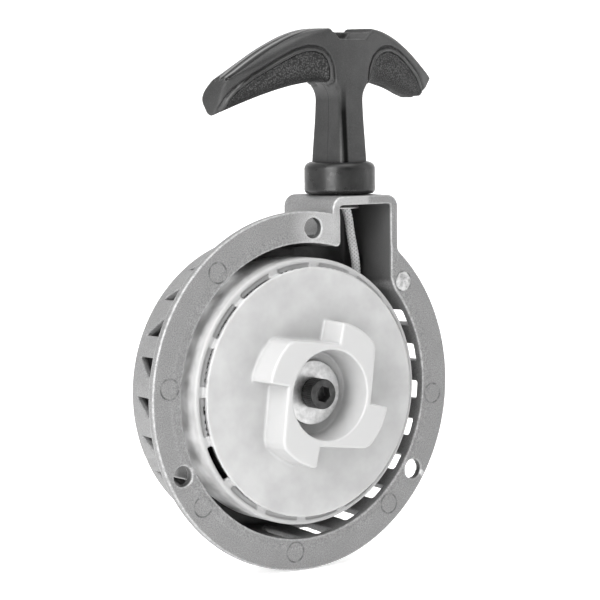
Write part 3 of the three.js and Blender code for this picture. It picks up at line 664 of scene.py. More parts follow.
BAR_TOP = smooth_curve([
    (0, 122.6), (10.2, 122.6), (16, 121.4), (23, 118.9), (32, 114.6), (41.5, 109.6), (50.5, 105.6),
])
BAR_CROWN = smooth_curve([(12, 0.3), (20, 1.6), (28, 2.6), (42, 2.6), (50.5, 0.4)])
BAR_UNDER = smooth_curve([(0, 104.4), (13.5, 104.4), (22, 103.2), (33, 100.2), (41, 97.2), (50.5, 93)])
BAR_UNDER_RIGHT = smooth_curve([
    (0, 104.4), (13.5, 104.4), (22, 102.8), (30, 101.2), (38, 99.4), (46, 98.9), (50.5, 101.6),
])
PAD_OUTLINE = [
    (47.6, 94.5), (46.8, 98.2), (45.0, 100.9), (42.2, 103.2), (39.6, 105.2), (34.3, 108.2),
    (29.8, 110.7), (25, 112.9), (20.6, 114.1), (17.6, 114.1), (14.8, 113.3), (12.6, 111.6),
    (11.2, 108.8), (10.4, 104.5), (10.0, 88), (47.6, 88),
]
STEM_GROWS = smooth_curve([(74.2, 1.0), (80, 0.75), (86, 0.45), (91, 0.2), (97, 0), (112, 0.2)])


def handle_frame(x, y):
    """Row-frame X and Y to (along the bar, behind it)."""
    dx, dy = x - ROPE_X, y - ROPE_Y
    return (dx * math.cos(HANDLE_YAW) + dy * math.sin(HANDLE_YAW),
            dy * math.cos(HANDLE_YAW) - dx * math.sin(HANDLE_YAW))


def pad_distance(s, z):
    """Distance to the rounded outline of either pad, seen from the front."""
    return polygon(np.abs(s), z, PAD_OUTLINE) - PAD_CORNER


def bar_section(s, z):
    """How far back the middle of the bar's section lies, and half its thickness, at a height."""
    reach = np.abs(s)
    share = np.minimum(reach / BAR_HALF, 1) ** 2
    keel = BAR_UNDER(reach)
    height = np.clip((z - keel) / (BAR_TOP(reach) - keel), 0, 1)
    back = share * (BAR_SWEEP + BAR_LEAN * np.sin(np.pi / 2 * np.minimum(1, 1.6 * (1 - height))))
    narrow = np.sqrt(1 - np.clip(1 - height / BAR_WIDEST_AT, 0, 1) ** BAR_ROUNDNESS)
    foot = BAR_KEEL * (1 - 0.6 * share)
    bulge = 1 + BAR_END_BULGE * share * np.sin(np.pi * height)
    return back, (BAR_HALF_THICK - BAR_END_THINNER * share) * (foot + (1 - foot) * narrow) * bulge


def handle_outline(s, d, z):
    """The T seen from the front, its fillets included, with the ridges along its crown."""
    reach = np.abs(s)
    back, half = bar_section(s, z)
    behind = d - back
    steep = 1 - 0.25 * np.clip((reach - 10) / 25, 0, 1)
    crown = BAR_CROWN(reach) * np.clip(1 - (behind / half) ** 2, 0, 1) * np.clip((reach - 9) / 4, 0, 1)
    ridges = sum(RIDGE_DEPTH * np.exp(-((behind - line) / RIDGE_WIDTH) ** 2) for line in RIDGE_LINES)
    over = z - BAR_TOP(reach) - crown + ridges * np.clip((reach - 11.5) / 1.5, 0, 1)
    under = np.where(s > 0, BAR_UNDER_RIGHT(reach), BAR_UNDER(reach)) - z
    bar = common(np.maximum(over, under) * steep, reach - BAR_HALF, 0.6)
    stem = np.maximum(reach - STEM_HALF_ALONG - STEM_GROWS(z), between(z, STEM_FOOT, 116))
    return union(bar, stem, STEM_FILLET)


def handle_whole(x, y, z):
    """The T-handle with its pads, before the rope's way through it is cut."""
    s, d = handle_frame(x, y)
    back, half = bar_section(s, z)
    wing = np.clip((np.abs(s) - 7) / 8, 0, 1)
    wing = wing * wing * (3 - 2 * wing)
    half = wing * half + (1 - wing) * (STEM_HALF_ACROSS + STEM_GROWS(z))
    behind = np.abs(d - back)
    whole = common(handle_outline(s, d, z), behind - half, BAR_EDGE)
    rim = pad_distance(s, z)
    on_side = np.clip((behind - 2.0) / 1.0, 0, 1)
    groove = PAD_GROOVE * np.exp(-((rim - 1.75) / 0.42) ** 2)
    bead = PAD_BEAD * np.exp(-((rim - 0.65) / 0.5) ** 2)
    sunk = PAD_SUNK * np.clip((-0.6 - rim) / 0.8, 0, 1)
    whole = whole + (groove - bead + sunk) * on_side
    slant = (NOTCH_FLOOR - z) * 0.72 + (np.abs(s) - NOTCH_HALF) * 0.70
    notch = common(np.maximum(NOTCH_FLOOR - z, slant), d - NOTCH_WALL, 0.6)
    wall = np.maximum(NOTCH_WALL_TOP - z, np.abs(s) - NOTCH_HALF - 3.5)
    return minus(minus(whole, notch, 0.5), wall, 0.6)


def core_field(s, d, z):
    """The rib of the handle body that each grip pad wraps."""
    back, half = bar_section(s, z)
    under = np.where(s > 0, BAR_UNDER_RIGHT(np.abs(s)), BAR_UNDER(np.abs(s)))
    return np.maximum(np.abs(d - back) - np.minimum(half, PAD_CORE_HALF), under + 3.0 - z)


def handle_body_field(x, y, z):
    """The T-handle less the room for its pads, the knot's pocket and the rope's bore."""
    s, d = handle_frame(x, y)
    whole = handle_whole(x, y, z)
    room = np.maximum(pad_distance(s, z) - PAD_GAP, -core_field(s, d, z))
    body = np.maximum(whole, -room)
    away = np.hypot(s, d)
    pocket = np.maximum(away - POCKET_R, POCKET_FLOOR - z)
    return np.maximum(minus(body, pocket, 0.5), ROPE_BORE_R - away)


def pad_field(side):
    """The field of the grip pad on one side: -1 left, 1 right."""
    def field(x, y, z):
        s, d = handle_frame(x, y)
        pad = common(handle_whole(x, y, z), pad_distance(s, z), 0.3)
        return np.maximum(np.maximum(pad, 0.15 - core_field(s, d, z)), -side * s)
    return field


# ------------------------------------------------------------------ rope, springs and small parts


def braid(travelled, turn):
    """Radius of a braided rope: strands cross in two directions."""
    rise = 2 * math.pi * travelled / BRAID_PITCH
    a = math.sin(4 * turn + rise)
    b = math.sin(4 * turn - rise)
    return ROPE_R - 0.32 + 0.34 * max(abs(a), abs(b)) + 0.06 * a * b


def curve_through(points, count):
    """Evenly numbered places on a smooth curve through a few points."""
    points = np.array(points, float)
    at = np.concatenate([[0], np.cumsum(np.linalg.norm(np.diff(points, axis=0), axis=1))])
    curves = [smooth_curve(np.stack([at, points[:, k]], 1)) for k in range(3)]
    t = np.linspace(0, at[-1], count)
    return np.stack([curve(t) for curve in curves], 1)


def rope_inner():
    """From the wound rope to the eyelet, on the route that the CAD uses."""
    entry_x, entry_z = ROPE_X + 1.75, 60.6
    clear = WOUND_R + ROPE_R + 0.3
    leave = math.atan2(entry_z, entry_x) - math.acos(clear / math.hypot(entry_x, entry_z))
    start_x = clear * math.cos(leave)
    start_z = clear * math.sin(leave)
    steps = ((0, ROPE_PLANE), (0.22, ROPE_PLANE), (0.42, ROPE_PLANE - 0.1), (0.6, ROPE_Y + 0.3),
             (0.68, ROPE_Y - 0.3), (0.8, ROPE_Y - 0.6), (1, ROPE_Y - 1))
    points = [(start_x + (entry_x - start_x) * t, y, start_z + (entry_z - start_z) * t) for t, y in steps]
    points += [(ROPE_X + 0.7, ROPE_Y - 0.4, 63.4), (ROPE_X + 0.2, ROPE_Y, 65.7)]
    rings, sides = 330, 40
    return sweep("rope_in_tower", curve_through(points, rings), braid, sides)


def rope_outer():
    """From the eyelet to the handle's knot; many rings, because it lengthens as the handle is pulled."""
    low, high = 66.0, 108.8
    steps, sides = 150, 24
    path = [(ROPE_X, ROPE_Y, low + (high - low) * i / steps) for i in range(steps + 1)]
    return sweep("rope_to_handle", path, ROPE_R - 0.05, sides)


def rope_wound():
    """Three turns of rope on the pulley, one over another."""
    first = GROOVE_R + 0.35 + ROPE_R
    last = WOUND_R - ROPE_R
    steps = ROPE_TURNS * 110
    path = []
    for i in range(steps + 1):
        t = i / steps
        x, z = polar(first + (last - first) * t, KNOT_ANGLE + 360 * ROPE_TURNS * t)
        path.append((x, ROPE_PLANE, z))
    return sweep("rope_wound", path, lambda travelled, turn: braid(travelled, turn) - 0.05, 20)


def trefoil(name, centre, size, tube, squeeze):
    """A tight overhand knot."""
    steps, sides = 120, 16
    path = []
    for i in range(steps):
        t = 2 * math.pi * i / steps
        path.append((
            centre[0] + size * (math.sin(t) + 2 * math.sin(2 * t)) / 3,
            centre[1] + size * (math.cos(t) - 2 * math.cos(2 * t)) / 3 * squeeze[0],
            centre[2] - size * math.sin(3 * t) * squeeze[1],
        ))
    return sweep(name, path, tube, sides, closed=True)


def strip_spiral(name, inner, outer, turns, strip, front, back):
    """A flat spring strip wound in a spiral, its section a rounded rectangle."""
    steps = int(turns * STRIP_STEPS)
    half = strip / 2
    section = rounded([(half, front), (half, back), (-half, back), (-half, front)], STRIP_EDGE, 2)
    points = []
    for i in range(steps + 1):
        t = i / steps
        spread = inner + (outer - inner) * t
        for offset, y in section:
            x, z = polar(spread + offset, 360 * turns * t)
            points.append((x, y, z))
    return outward(skin(name, points, len(section)))


def ring(name, inner, outer, y0, y1, r):
    """A flat washer about the reel axis."""
    return lathe(name, rounded([(inner, y0), (outer, y0), (outer, y1), (inner, y1)], r))


def eyelet():
    """The steel eyelet: a sleeve in the tower's roof with a skirt under it."""
    under = TOWER_TOP - TOWER_ROOF - 0.3
    top = TOWER_TOP - 0.1
    lead = EYELET_BORE_R + EYELET_EDGE
    profile = [(EYELET_BORE_R, under - 0.9), (lead, under - 1.5), (SKIRT_R, under - 1.5),
               (SKIRT_R, under - 0.9), (SKIRT_TOP_R, under), (SLEEVE_R, under), (SLEEVE_R, top),
               (lead, top), (EYELET_BORE_R, top - EYELET_EDGE)]
    return lathe("rope_eyelet_turned", rounded(profile, 0.3), 96, "Z", (ROPE_X, ROPE_Y))


def spring_case():
    """The recoil spring's sheet-steel case, open towards the pulley."""
    sheet = 0.8
    floor_at, back = CASE_BACK - sheet, CASE_BACK
    profile = [(CASE_HOLE_R, floor_at), (CASE_R - sheet, floor_at), (CASE_R - sheet, CASE_FRONT),
               (CASE_R, CASE_FRONT), (CASE_R, back), (CASE_HOLE_R, back)]
    return lathe("spring_case_pressed", rounded(profile, 0.35), 128)


def collar_field(x, y, z):
    """The round collar, with a seat for the stem's foot and a bore for the rope."""
    away = np.hypot(x - ROPE_X, y - ROPE_Y)
    s, d = handle_frame(x, y)
    body = common(away - COLLAR_R, z - COLLAR_HIGH, 2.6)
    body = common(body, COLLAR_LOW - z, 1.6)
    along = STEM_HALF_ALONG + SEAT_WIDER
    across = STEM_HALF_ACROSS + SEAT_WIDER
    seat = np.maximum(rounded_rect(s, d, -along, -across, along, across, 2.0), STEM_FOOT - 0.3 - z)
    body = minus(body, seat, 0.5)
    return np.maximum(body, COLLAR_BORE_R - away)


# ------------------------------------------------------------------ materials


NOISE_ROUGHNESS = 0.55


class Surface:
    """A procedural material around one Principled shader; places are in the piece's own metres."""

    def __init__(self, name, **settings):
        self.material = bpy.data.materials.new(name)
        self.material.use_nodes = True
        self.tree = self.material.node_tree
        self.shader = self.tree.nodes["Principled BSDF"]
        self.place = self.add("ShaderNodeTexCoord").outputs["Object"]
        for socket, value in settings.items():
            self.shader.inputs[socket.replace("_", " ")].default_value = value

    def add(self, kind, inputs=(), **settings):
        node = self.tree.nodes.new(kind)
        for key, value in settings.items():
            setattr(node, key, value)
        for key, value in dict(inputs).items():
            if isinstance(value, bpy.types.NodeSocket):
                self.tree.links.new(value, node.inputs[key])
            else:
                node.inputs[key].default_value = value
        return node

    def noise(self, size_mm, detail, place=None):
        inputs = {"Vector": place or self.place, "Scale": 1 / (size_mm * MM), "Detail": detail}
        inputs["Roughness"] = NOISE_ROUGHNESS
        return self.add("ShaderNodeTexNoise", inputs).outputs["Fac"]

    def cells(self, size_mm):
        inputs = {"Vector": self.place, "Scale": 1 / (size_mm * MM)}
        return self.add("ShaderNodeTexVoronoi", inputs).outputs["Distance"]

    def math(self, operation, a, b=0.0):
        return self.add("ShaderNodeMath", {0: a, 1: b}, operation=operation).outputs[0]

    def times(self, a, b):
        return self.math("MULTIPLY", a, b)

    def plus(self, a, b):
        return self.math("ADD", a, b)

    def less(self, a, b):
        return self.math("SUBTRACT", a, b)

    def most(self, a, b):
        return self.math("MAXIMUM", a, b)

    def size(self, a):
        return self.math("ABSOLUTE", a)

    def span(self, value, from_low, from_high, low, high):
        inputs = {"Value": value, "From Min": from_low, "From Max": from_high, "To Min": low, "To Max": high}
        return self.add("ShaderNodeMapRange", inputs).outputs["Result"]

    def blend(self, share, a, b):
        node = self.add("ShaderNodeMix", {0: share}, data_type="RGBA")
        for socket, value in zip((node.inputs[6], node.inputs[7]), (a, b)):
            if isinstance(value, bpy.types.NodeSocket):
                self.tree.links.new(value, socket)
            else:
                socket.default_value = value
        return node.outputs[2]

    def base(self, share, dark, light):
        """Starts the colour: one grey, and another where share is 1."""
        self.colour = self.blend(share, grey(dark), grey(light))

    def tint(self, share, level):
        """Lays a grey over the colour so far."""
        self.colour = self.blend(share, self.colour, grey(level))

    def axes(self):
        """X, Y and Z in millimetres."""
        node = self.add("ShaderNodeSeparateXYZ", {0: self.place})
        return [self.times(output, 1 / MM) for output in node.outputs]

    def place_turned(self, degrees, scale):
        """Places turned about Y, then stretched."""
        inputs = {"Vector": self.place, "Rotation": (0, math.radians(degrees), 0)}
        turned = self.add("ShaderNodeMapping", inputs).outputs[0]
        return self.add("ShaderNodeMapping", {"Vector": turned, "Scale": scale}).outputs[0]

    def length(self, a, b):
        """The length of the flat vector (a, b)."""
        return self.math("SQRT", self.plus(self.math("POWER", a, 2), self.math("POWER", b, 2)))

    def stripe(self, value, middle, half, soft):
        """1 where value is within half of middle, fading to 0 over soft."""
        away = self.size(self.less(value, middle))
        return self.span(away, half, half + soft, 1, 0)

    def crossing(self, a, b):
        """Two sets of strands that cross: near 1 on their tops and lower in the gaps."""
        one = self.size(self.math("SINE", self.plus(a, b)))
        other = self.size(self.math("SINE", self.less(a, b)))
        return self.most(one, other)

    def stretched(self, scale):
        """Places stretched along each axis, for streaky noise."""
        return self.add("ShaderNodeMapping", {"Vector": self.place, "Scale": scale}).outputs[0]

    def bump(self, height, depth_mm, strength):
        inputs = {"Height": height, "Distance": depth_mm * MM, "Strength": strength}
        return self.add("ShaderNodeBump", inputs).outputs["Normal"]

    def done(self, **links):
        """Links the colour and whatever else is given to the shader."""
        for socket, value in dict(links, Base_Color=self.colour).items():
            self.tree.links.new(value, self.shader.inputs[socket.replace("_", " ")])
        return self.material

    def up(self):
        """How far the surface faces up, from -1 to 1."""
        normal = self.add("ShaderNodeNewGeometry").outputs["Normal"]
        return self.add("ShaderNodeSeparateXYZ", {0: normal}).outputs["Z"]

    def edges(self, low, high):
        """1 on outside edges and 0 elsewhere, from the mesh's own curvature."""
        return self.span(self.add("ShaderNodeNewGeometry").outputs["Pointiness"], low, high, 0, 1)


def grey(level):
    return (level, level, level, 1)


def near(surface, axes, x, z, r, soft):
    """1 inside a disc on a face across Y, fading out over soft."""
    dx = surface.less(axes[0], x)
    dz = surface.less(axes[2], z)
    away = surface.length(dx, dz)
    return surface.span(away, r - soft, r + soft, 1, 0), away


def painted_inside_shade(s, axes):
    """1 on the walls inside the bowl and the tower, 0 outside and on the floor of the bowl: where the
    casting gets painted shade.
    """
    bowl = s.span(s.length(axes[0], axes[2]), MOUTH_R - 0.4, MOUTH_R + 0.1, 1, 0)
    aside = s.size(s.less(axes[0], TOWER_X))
    roof = TOWER_TOP - TOWER_ROOF
    tower = s.times(s.span(aside, TOWER_INNER_HALF + 0.1, TOWER_INNER_HALF + 0.5, 1, 0),
                   s.span(axes[2], roof + 0.1, roof + 0.5, 1, 0))
    tower = s.times(tower, s.span(axes[2], 0, 1, 0, 1))
    inside = s.times(s.most(bowl, tower), s.span(axes[1], 0.3, 1.2, 0, 1))
    return s.times(inside, s.span(axes[1], DEPTH - 1.5, DEPTH - 1, 1, 0))


def cast_wear(s, axes, front):
    """Light rubbed strokes beside the top hole and on the tower's front rim."""
    hole_x, hole_z = polar(HOLE_AT_R, HOLE_FIRST - 4)
    patch, _ = near(s, axes, hole_x, hole_z, 10, 4)
    tower_rim = s.times(s.span(axes[2], 60.5, 62.5, 0, 1), s.span(axes[0], 26.5, 28, 1, 0))
    patch = s.most(patch, tower_rim)
    strokes = s.noise(1, 3, s.place_turned(40, (2600, 300, 380)))
    return s.times(s.times(patch, front), s.span(strokes, 0.38, 0.58, 0.1, 1))


def cast_marks(s, axes):
    """The round marks of the flange: their outlines, painted dark as shade along each mark's edge, their
    discs and the stains on the bright one.
    """
    mark_edge_shade, discs, stains = 0.0, 0.0, 0.0
    for turn in mark_turns():
        disc, away = near(s, axes, *polar(MARK_AT_R, turn), MARK_R, 0.15)
        line = s.span(s.size(s.less(away, MARK_R)), 0.1, 0.45, 1, 0)
        mark_edge_shade = s.most(mark_edge_shade, line)
        discs = s.most(discs, disc)
        if turn == BRIGHT_MARK:
            stains = s.times(s.span(s.noise(2.4, 3), 0.4, 0.6, 0.15, 0.85), disc)
    return mark_edge_shade, discs, stains


def cast_aluminium():
    """Blasted die casting: grainy grey, with painted shade inside, and rubbed edges on the flange that are
    partly wear and partly a painted highlight.
    """
    s = Surface("cast_aluminium", Metallic=0.35, Roughness=0.55)
    axes = s.axes()
    front = s.span(axes[1], 0.02, 0.5, 1, 0)
    grain = s.noise(0.42, 3)
    patches = s.span(s.noise(9, 4), 0.35, 0.7, 0, 0.35)
    s.base(s.span(grain, 0.35, 0.65, 0, 1), 0.115, 0.23)
    s.tint(patches, 0.13)
    # Painted shade on the walls inside the bowl and the tower.
    s.tint(s.times(painted_inside_shade(s, axes), 0.75), 0.05)
    # Painted shade down the bore of each hole, behind the flange.
    bore_shade_reach = s.times(s.span(axes[1], 0.3, 0.9, 0, 1), s.span(axes[1], 9, 12, 1, 0))
    for turn in HOLE_TURNS:
        hole, _ = near(s, axes, *polar(HOLE_AT_R, HOLE_FIRST + turn), RELIEF_R + 0.1, 0.1)
        shade = s.times(s.times(hole, bore_shade_reach), 0.85)
        s.tint(shade, 0.02)
    wear = s.times(cast_wear(s, axes, front), 0.7)
    s.tint(wear, 0.44)
    mark_edge_shade, discs, stains = cast_marks(s, axes)
    s.tint(stains, 0.5)
    faint = s.span(s.noise(2.8, 2), 0.38, 0.6, 0.1, 0.9)
    mark_edge_shade = s.times(s.times(mark_edge_shade, front), faint)
    discs = s.times(discs, front)
    # Painted shade: a dark outline along the edge of each mark.
    s.tint(mark_edge_shade, 0.05)
    # Rubbed edges lightened from the mesh's curvature: partly wear, partly a painted highlight.
    worn = s.times(s.edges(0.52, 0.6), s.span(s.noise(1.3, 3), 0.35, 0.6, 0.3, 1))
    worn = s.times(worn, s.span(axes[1], FLANGE_T + 0.2, FLANGE_T + 1, 1, 0))
    s.tint(worn, 0.62)
    rough = s.span(grain, 0.3, 0.7, 0.42, 0.62)
    height = s.plus(grain, s.times(s.noise(1.6, 3), 0.6))
    height = s.less(height, s.times(discs, 1.2))
    return s.done(Roughness=rough, Normal=s.bump(height, 0.2, 0.6))


def slot_shade(s, axes, rho):
    """How dark the slots of the cup are inside, found by angle; less on the side towards the tower."""
    turn = s.times(s.math("ARCTAN2", axes[2], axes[0]), SLOTS / (2 * math.pi))
    turn = s.less(turn, SLOT_FIRST * SLOTS / 360)
    turn = s.size(s.less(turn, s.math("ROUND", turn)))
    half = SLOT_WIDTH * SLOTS / 720
    outer = SLOT_MID_R + SLOT_HALF
    shade = s.times(s.span(axes[1], SLOT_TOP, SLOT_TOP + 0.2, 0, 1),
                   s.span(turn, half, half + 0.01, 1, 0))
    shade = s.times(shade, s.span(rho, outer, outer + 0.1, 0.85, 0))
    shade = s.times(shade, s.span(axes[0], -5, 28, 0.8, 0.1))
    return s.times(shade, s.span(rho, 41.3, 41.5, 0, 1))


def white_nylon():
    """Natural nylon: cloudy face, claws painted lighter as painted light, a side painted darker at the
    shoulder and lighter further back as painted light and shade, darker blotches and a few specks.
    """
    s = Surface("white_nylon", Roughness=0.42, IOR=1.5, Subsurface_Weight=0.35, Subsurface_Scale=0.0025,
                Subsurface_Radius=(1.0, 0.95, 0.9))
    axes = s.axes()
    rho = s.length(axes[0], axes[2])
    # Painted light and shade on the cup's side: darker at the shoulder, where the left lamp falls, and
    # lighter further back, in the flange's shade.
    side = s.times(s.span(axes[1], -2.2, -1.4, 0, 1), s.span(rho, 41, 41.4, 0, 1))
    s.base(s.span(s.noise(11, 3), 0.35, 0.68, 0, 1), 0.36, 0.30)
    s.colour = s.blend(side, s.colour, s.blend(s.span(axes[1], -1, 3, 0, 1), grey(0.30), grey(0.62)))
    blotches = s.span(s.noise(9, 2), 0.4, 0.62, 0, 0.6)
    s.tint(s.times(blotches, side), 0.27)
    # Painted light: the claws are painted lighter than the face they stand on.
    claws = s.span(axes[1], -3.6, -6, 0, 1)
    s.tint(claws, 0.355)
    s.tint(slot_shade(s, axes, rho), 0.24)
    flecks = s.times(s.span(s.cells(1.9), 0.0, 0.07, 1, 0), 0.25)
    s.tint(flecks, 0.22)
    rough = s.span(s.noise(3, 3), 0.3, 0.7, 0.34, 0.52)
    scuffs = s.noise(1, 3, s.stretched((900, 900, 160)))
    height = s.plus(s.noise(2.2, 4), s.times(scuffs, 0.35))
    return s.done(Roughness=rough, Normal=s.bump(height, 0.05, 0.5))


def handle_axes(s, axes):
    """The same as handle_frame, for a material: along the bar and behind it."""
    cos, sin = math.cos(HANDLE_YAW), math.sin(HANDLE_YAW)
    dx = s.less(axes[0], ROPE_X)
    dy = s.less(axes[1], ROPE_Y)
    along = s.plus(s.times(dx, cos), s.times(dy, sin))
    behind = s.less(s.times(dy, cos), s.times(dx, sin))
    return along, behind


def black_plastic():
    """Satin moulded plastic: painted shade in the cuts and painted highlights on the crests of the crown, a
    painted dark reflection on the stem corner, a seam.
    """
    s = Surface("black_plastic", Roughness=0.36, IOR=1.38)
    axes = s.axes()
    along, behind = handle_axes(s, axes)
    s.base(s.span(s.noise(14, 4), 0.35, 0.65, 0, 1), 0.014, 0.024)
    s.tint(s.span(s.noise(0.3, 3), 0.45, 0.7, 0, 0.5), 0.05)
    swept = s.times(s.math("POWER", s.times(along, 1 / BAR_HALF), 2), BAR_SWEEP)
    across = s.less(behind, swept)
    wing = s.span(s.size(along), 11, 14, 0, 1)
    crown = s.times(s.span(s.up(), 0.3, 0.6, 0, 1), wing)
    # Painted shade in the cut of each ridge along the crown, and a painted highlight on the crest beside it.
    cut_shade = 0.0
    for line in RIDGE_LINES:
        cut_shade = s.most(cut_shade, s.stripe(across, line, 0.15, 0.3))
        crest_highlight = s.times(s.stripe(across, line + 0.75, 0.1, 0.4), 0.8)
        s.tint(s.times(crest_highlight, crown), 0.14)
    cut_shade = s.times(cut_shade, crown)
    s.tint(cut_shade, 0.002)
    # Painted dark reflection down the stem's front corner, where it faces the camera; the same strip also
    # gets more roughness and less shine.
    corner = s.times(s.stripe(along, 1.0 - STEM_HALF_ALONG, 0.6, 0.8),
                    s.span(behind, -4.5, -5.5, 0, 1))
    corner = s.times(corner, s.span(axes[2], 94, 104, 1, 0))
    s.tint(s.times(corner, 0.9), 0.001)
    seam = s.times(s.stripe(behind, -0.4, 0.06, 0.18), s.span(axes[2], 103, 106, 1, 0))
    s.tint(seam, 0.004)
    rough = s.plus(s.span(s.noise(4, 3), 0.3, 0.7, 0.34, 0.48), s.times(corner, 0.3))
    shine = s.less(0.5, s.times(corner, 0.45))
    grooves = s.plus(seam, s.times(cut_shade, 2))
    height = s.less(s.times(s.noise(0.35, 2), 0.4), grooves)
    return s.done(Roughness=rough, Specular_IOR_Level=shine, Normal=s.bump(height, 0.12, 0.5))


def soft_grip():
    """Stippled soft rubber, with painted shade on the faces that point down."""
    s = Surface("soft_grip", Roughness=0.7, IOR=1.32)
    stipple = s.cells(0.62)
    s.base(s.span(stipple, 0.1, 0.6, 0, 1), 0.07, 0.008)
    s.tint(s.span(s.noise(1.2, 3), 0.5, 0.75, 0, 0.4), 0.06)
    # Painted shade: faces that point down are painted darker.
    s.tint(s.span(s.up(), -0.3, -0.7, 0, 0.9), 0.004)
    height = s.less(1.0, stipple)
    return s.done(Normal=s.bump(height, 0.3, 0.85))


def black_rubber():
    """Smooth rubber with a little dust."""
    s = Surface("black_rubber", Roughness=0.3, IOR=1.4)
    s.base(s.span(s.noise(6, 4), 0.35, 0.65, 0, 1), 0.005, 0.012)
    s.tint(s.span(s.noise(0.3, 3), 0.5, 0.7, 0, 0.25), 0.03)
    rough = s.span(s.noise(2.5, 4), 0.3, 0.7, 0.24, 0.42)
    return s.done(Roughness=rough, Normal=s.bump(s.noise(1.4, 4), 0.08, 0.4))


def steel(name, dark, light, roughness):
    """Fine-grained steel with brighter worn edges."""
    s = Surface(name, Metallic=0.9, Roughness=roughness)
    s.base(s.span(s.noise(2.2, 4), 0.35, 0.65, 0, 1), dark, light)
    worn = s.times(s.edges(0.52, 0.62), 0.6)
    s.tint(worn, min(1.0, light * 1.5))
    rough = s.span(s.noise(0.8, 3), 0.3, 0.7, roughness - 0.07, roughness + 0.1)
    return s.done(Roughness=rough, Normal=s.bump(s.noise(0.3, 3), 0.03, 0.4))


def rope_nylon():
    """Braided rope: fine strands, with painted shade in the gaps where they cross."""
    s = Surface("rope_nylon", Roughness=0.75, Sheen_Weight=0.3)
    strands = s.noise(1, 2, s.stretched((1500, 1500, 3000)))
    s.base(s.span(strands, 0.35, 0.65, 0, 1), 0.55, 0.95)
    s.tint(s.span(s.noise(3.5, 3), 0.4, 0.7, 0, 0.3), 0.62)
    axes = s.axes()
    rise = s.times(axes[2], BRAID_RISE)
    aside = s.times(s.less(axes[0], axes[1]), 1.7)
    # Painted shade in the gaps between the crossing strands.
    s.tint(s.span(s.crossing(rise, aside), 0.85, 0.55, 0, 0.5), 0.2)
    return s.done(Normal=s.bump(strands, 0.12, 0.6))


def straight_rope():
    """The same rope where it runs straight up: its braid is worked out from the angle and the height."""
    s = Surface("straight_rope", Roughness=0.75, Sheen_Weight=0.3)
    axes = s.axes()
    dx = s.less(axes[0], ROPE_X)
    dy = s.less(axes[1], ROPE_Y)
    turn = s.times(s.math("ARCTAN2", dy, dx), 4)
    weave = s.crossing(s.times(axes[2], BRAID_RISE), turn)
    # The gaps of the braid are painted darker than the tops of its strands, as painted shade.
    s.base(s.span(weave, 0.7, 0.98, 0, 1), 0.30, 0.62)
    s.tint(s.span(s.noise(0.5, 2), 0.4, 0.7, 0, 0.4), 0.45)
    return s.done(Normal=s.bump(weave, 0.3, 0.8))


def pale_floor():
    """Almost white, with a little glow of its own."""
    s = Surface("pale_floor", Roughness=0.7, Emission_Color=(1, 1, 1, 1), Emission_Strength=0.5)
    s.base(s.span(s.noise(60, 3), 0.3, 0.7, 0, 1), 0.9, 0.94)
    return s.done()


# ------------------------------------------------------------------ pieces


def make_housing(aluminium, steel_bright, steel_spring, black_oxide, rope):
    """The casting and everything that stays still in it."""
    low = (-FLANGE_R, POST_FRONT - 0.3, -FLANGE_R)
    wall = carve("cast_housing", housing_field, low, (FLANGE_R, DEPTH, TOWER_TOP), 0.55, 0.5)
    finish_piece(wall, "housing", aluminium, "starter_housing")
    finish_piece(eyelet(), "housing", steel_bright, "rope_eyelet")
    finish_piece(spring_case(), "housing", steel_bright, "spring_case")
    coil = strip_spiral("recoil_spring_strip", inner=10.4, outer=32.2, turns=9, strip=0.6,
                        front=CASE_FRONT + 0.3, back=25.9)
    finish_piece(coil, "housing", steel_spring, "recoil_spring")
    washer = ring("washer_under_screw", TAP_R, WASHER_R, WASHER_FRONT, WASHER_BACK, 0.3)
    finish_piece(washer, "housing", steel_bright, "retaining_washer")
    reach = SCREW_HEAD_R + 0.1
    low, high = (-reach, SCREW_FACE, -reach), (reach, SCREW_END, reach)
    screw = carve("socket_cap_screw", screw_field, low, high, 0.16)
    finish_piece(screw, "housing", black_oxide, "retaining_screw")
    finish_piece(rope_inner(), "housing", rope, "rope_inner_run")


def make_reel(nylon, steel_bright, steel_spring, rope):
    """The drive cup with its buffer spring, and the pulley with its rope."""
    cup = carve("clawed_cup", cup_field, (-CUP_R, CLAW_FRONT, -CUP_R), (CUP_R, CUP_BACK, CUP_R), 0.45, 0.55)
    finish_piece(cup, "drive", nylon, "drive_cup")
    buffer = strip_spiral("buffer_spring_strip", inner=15.9, outer=42.3, turns=5, strip=0.8,
                          front=1.6, back=11.6)
    finish_piece(buffer, "drive", steel_spring, "buffer_spring")
    low, high = (-PULLEY_R, PEG_FRONT, -PULLEY_R), (PULLEY_R, PULLEY_HUB_BACK, PULLEY_R)
    wheel = carve("grooved_pulley", pulley_field, low, high, 0.55, 0.5)
    finish_piece(wheel, "pulley", nylon, "rope_pulley")
    finish_piece(rope_wound(), "pulley", rope, "rope_coil")
    kx, kz = polar(KNOT_AT_R, KNOT_ANGLE)
    knot = trefoil("anchor_knot_tied", (kx, ROPE_PLANE, kz), 2.6, 1.15, (0.55, 1.1))
    finish_piece(knot, "pulley", rope, "rope_anchor_knot")
    thrust = ring("thrust_washer_flat", CUP_BORE_R, 9.4, CUP_HUB_BACK + 0.3, PULLEY_FRONT - 0.3, 0.15)
    finish_piece(thrust, "pulley", steel_bright, "thrust_washer")


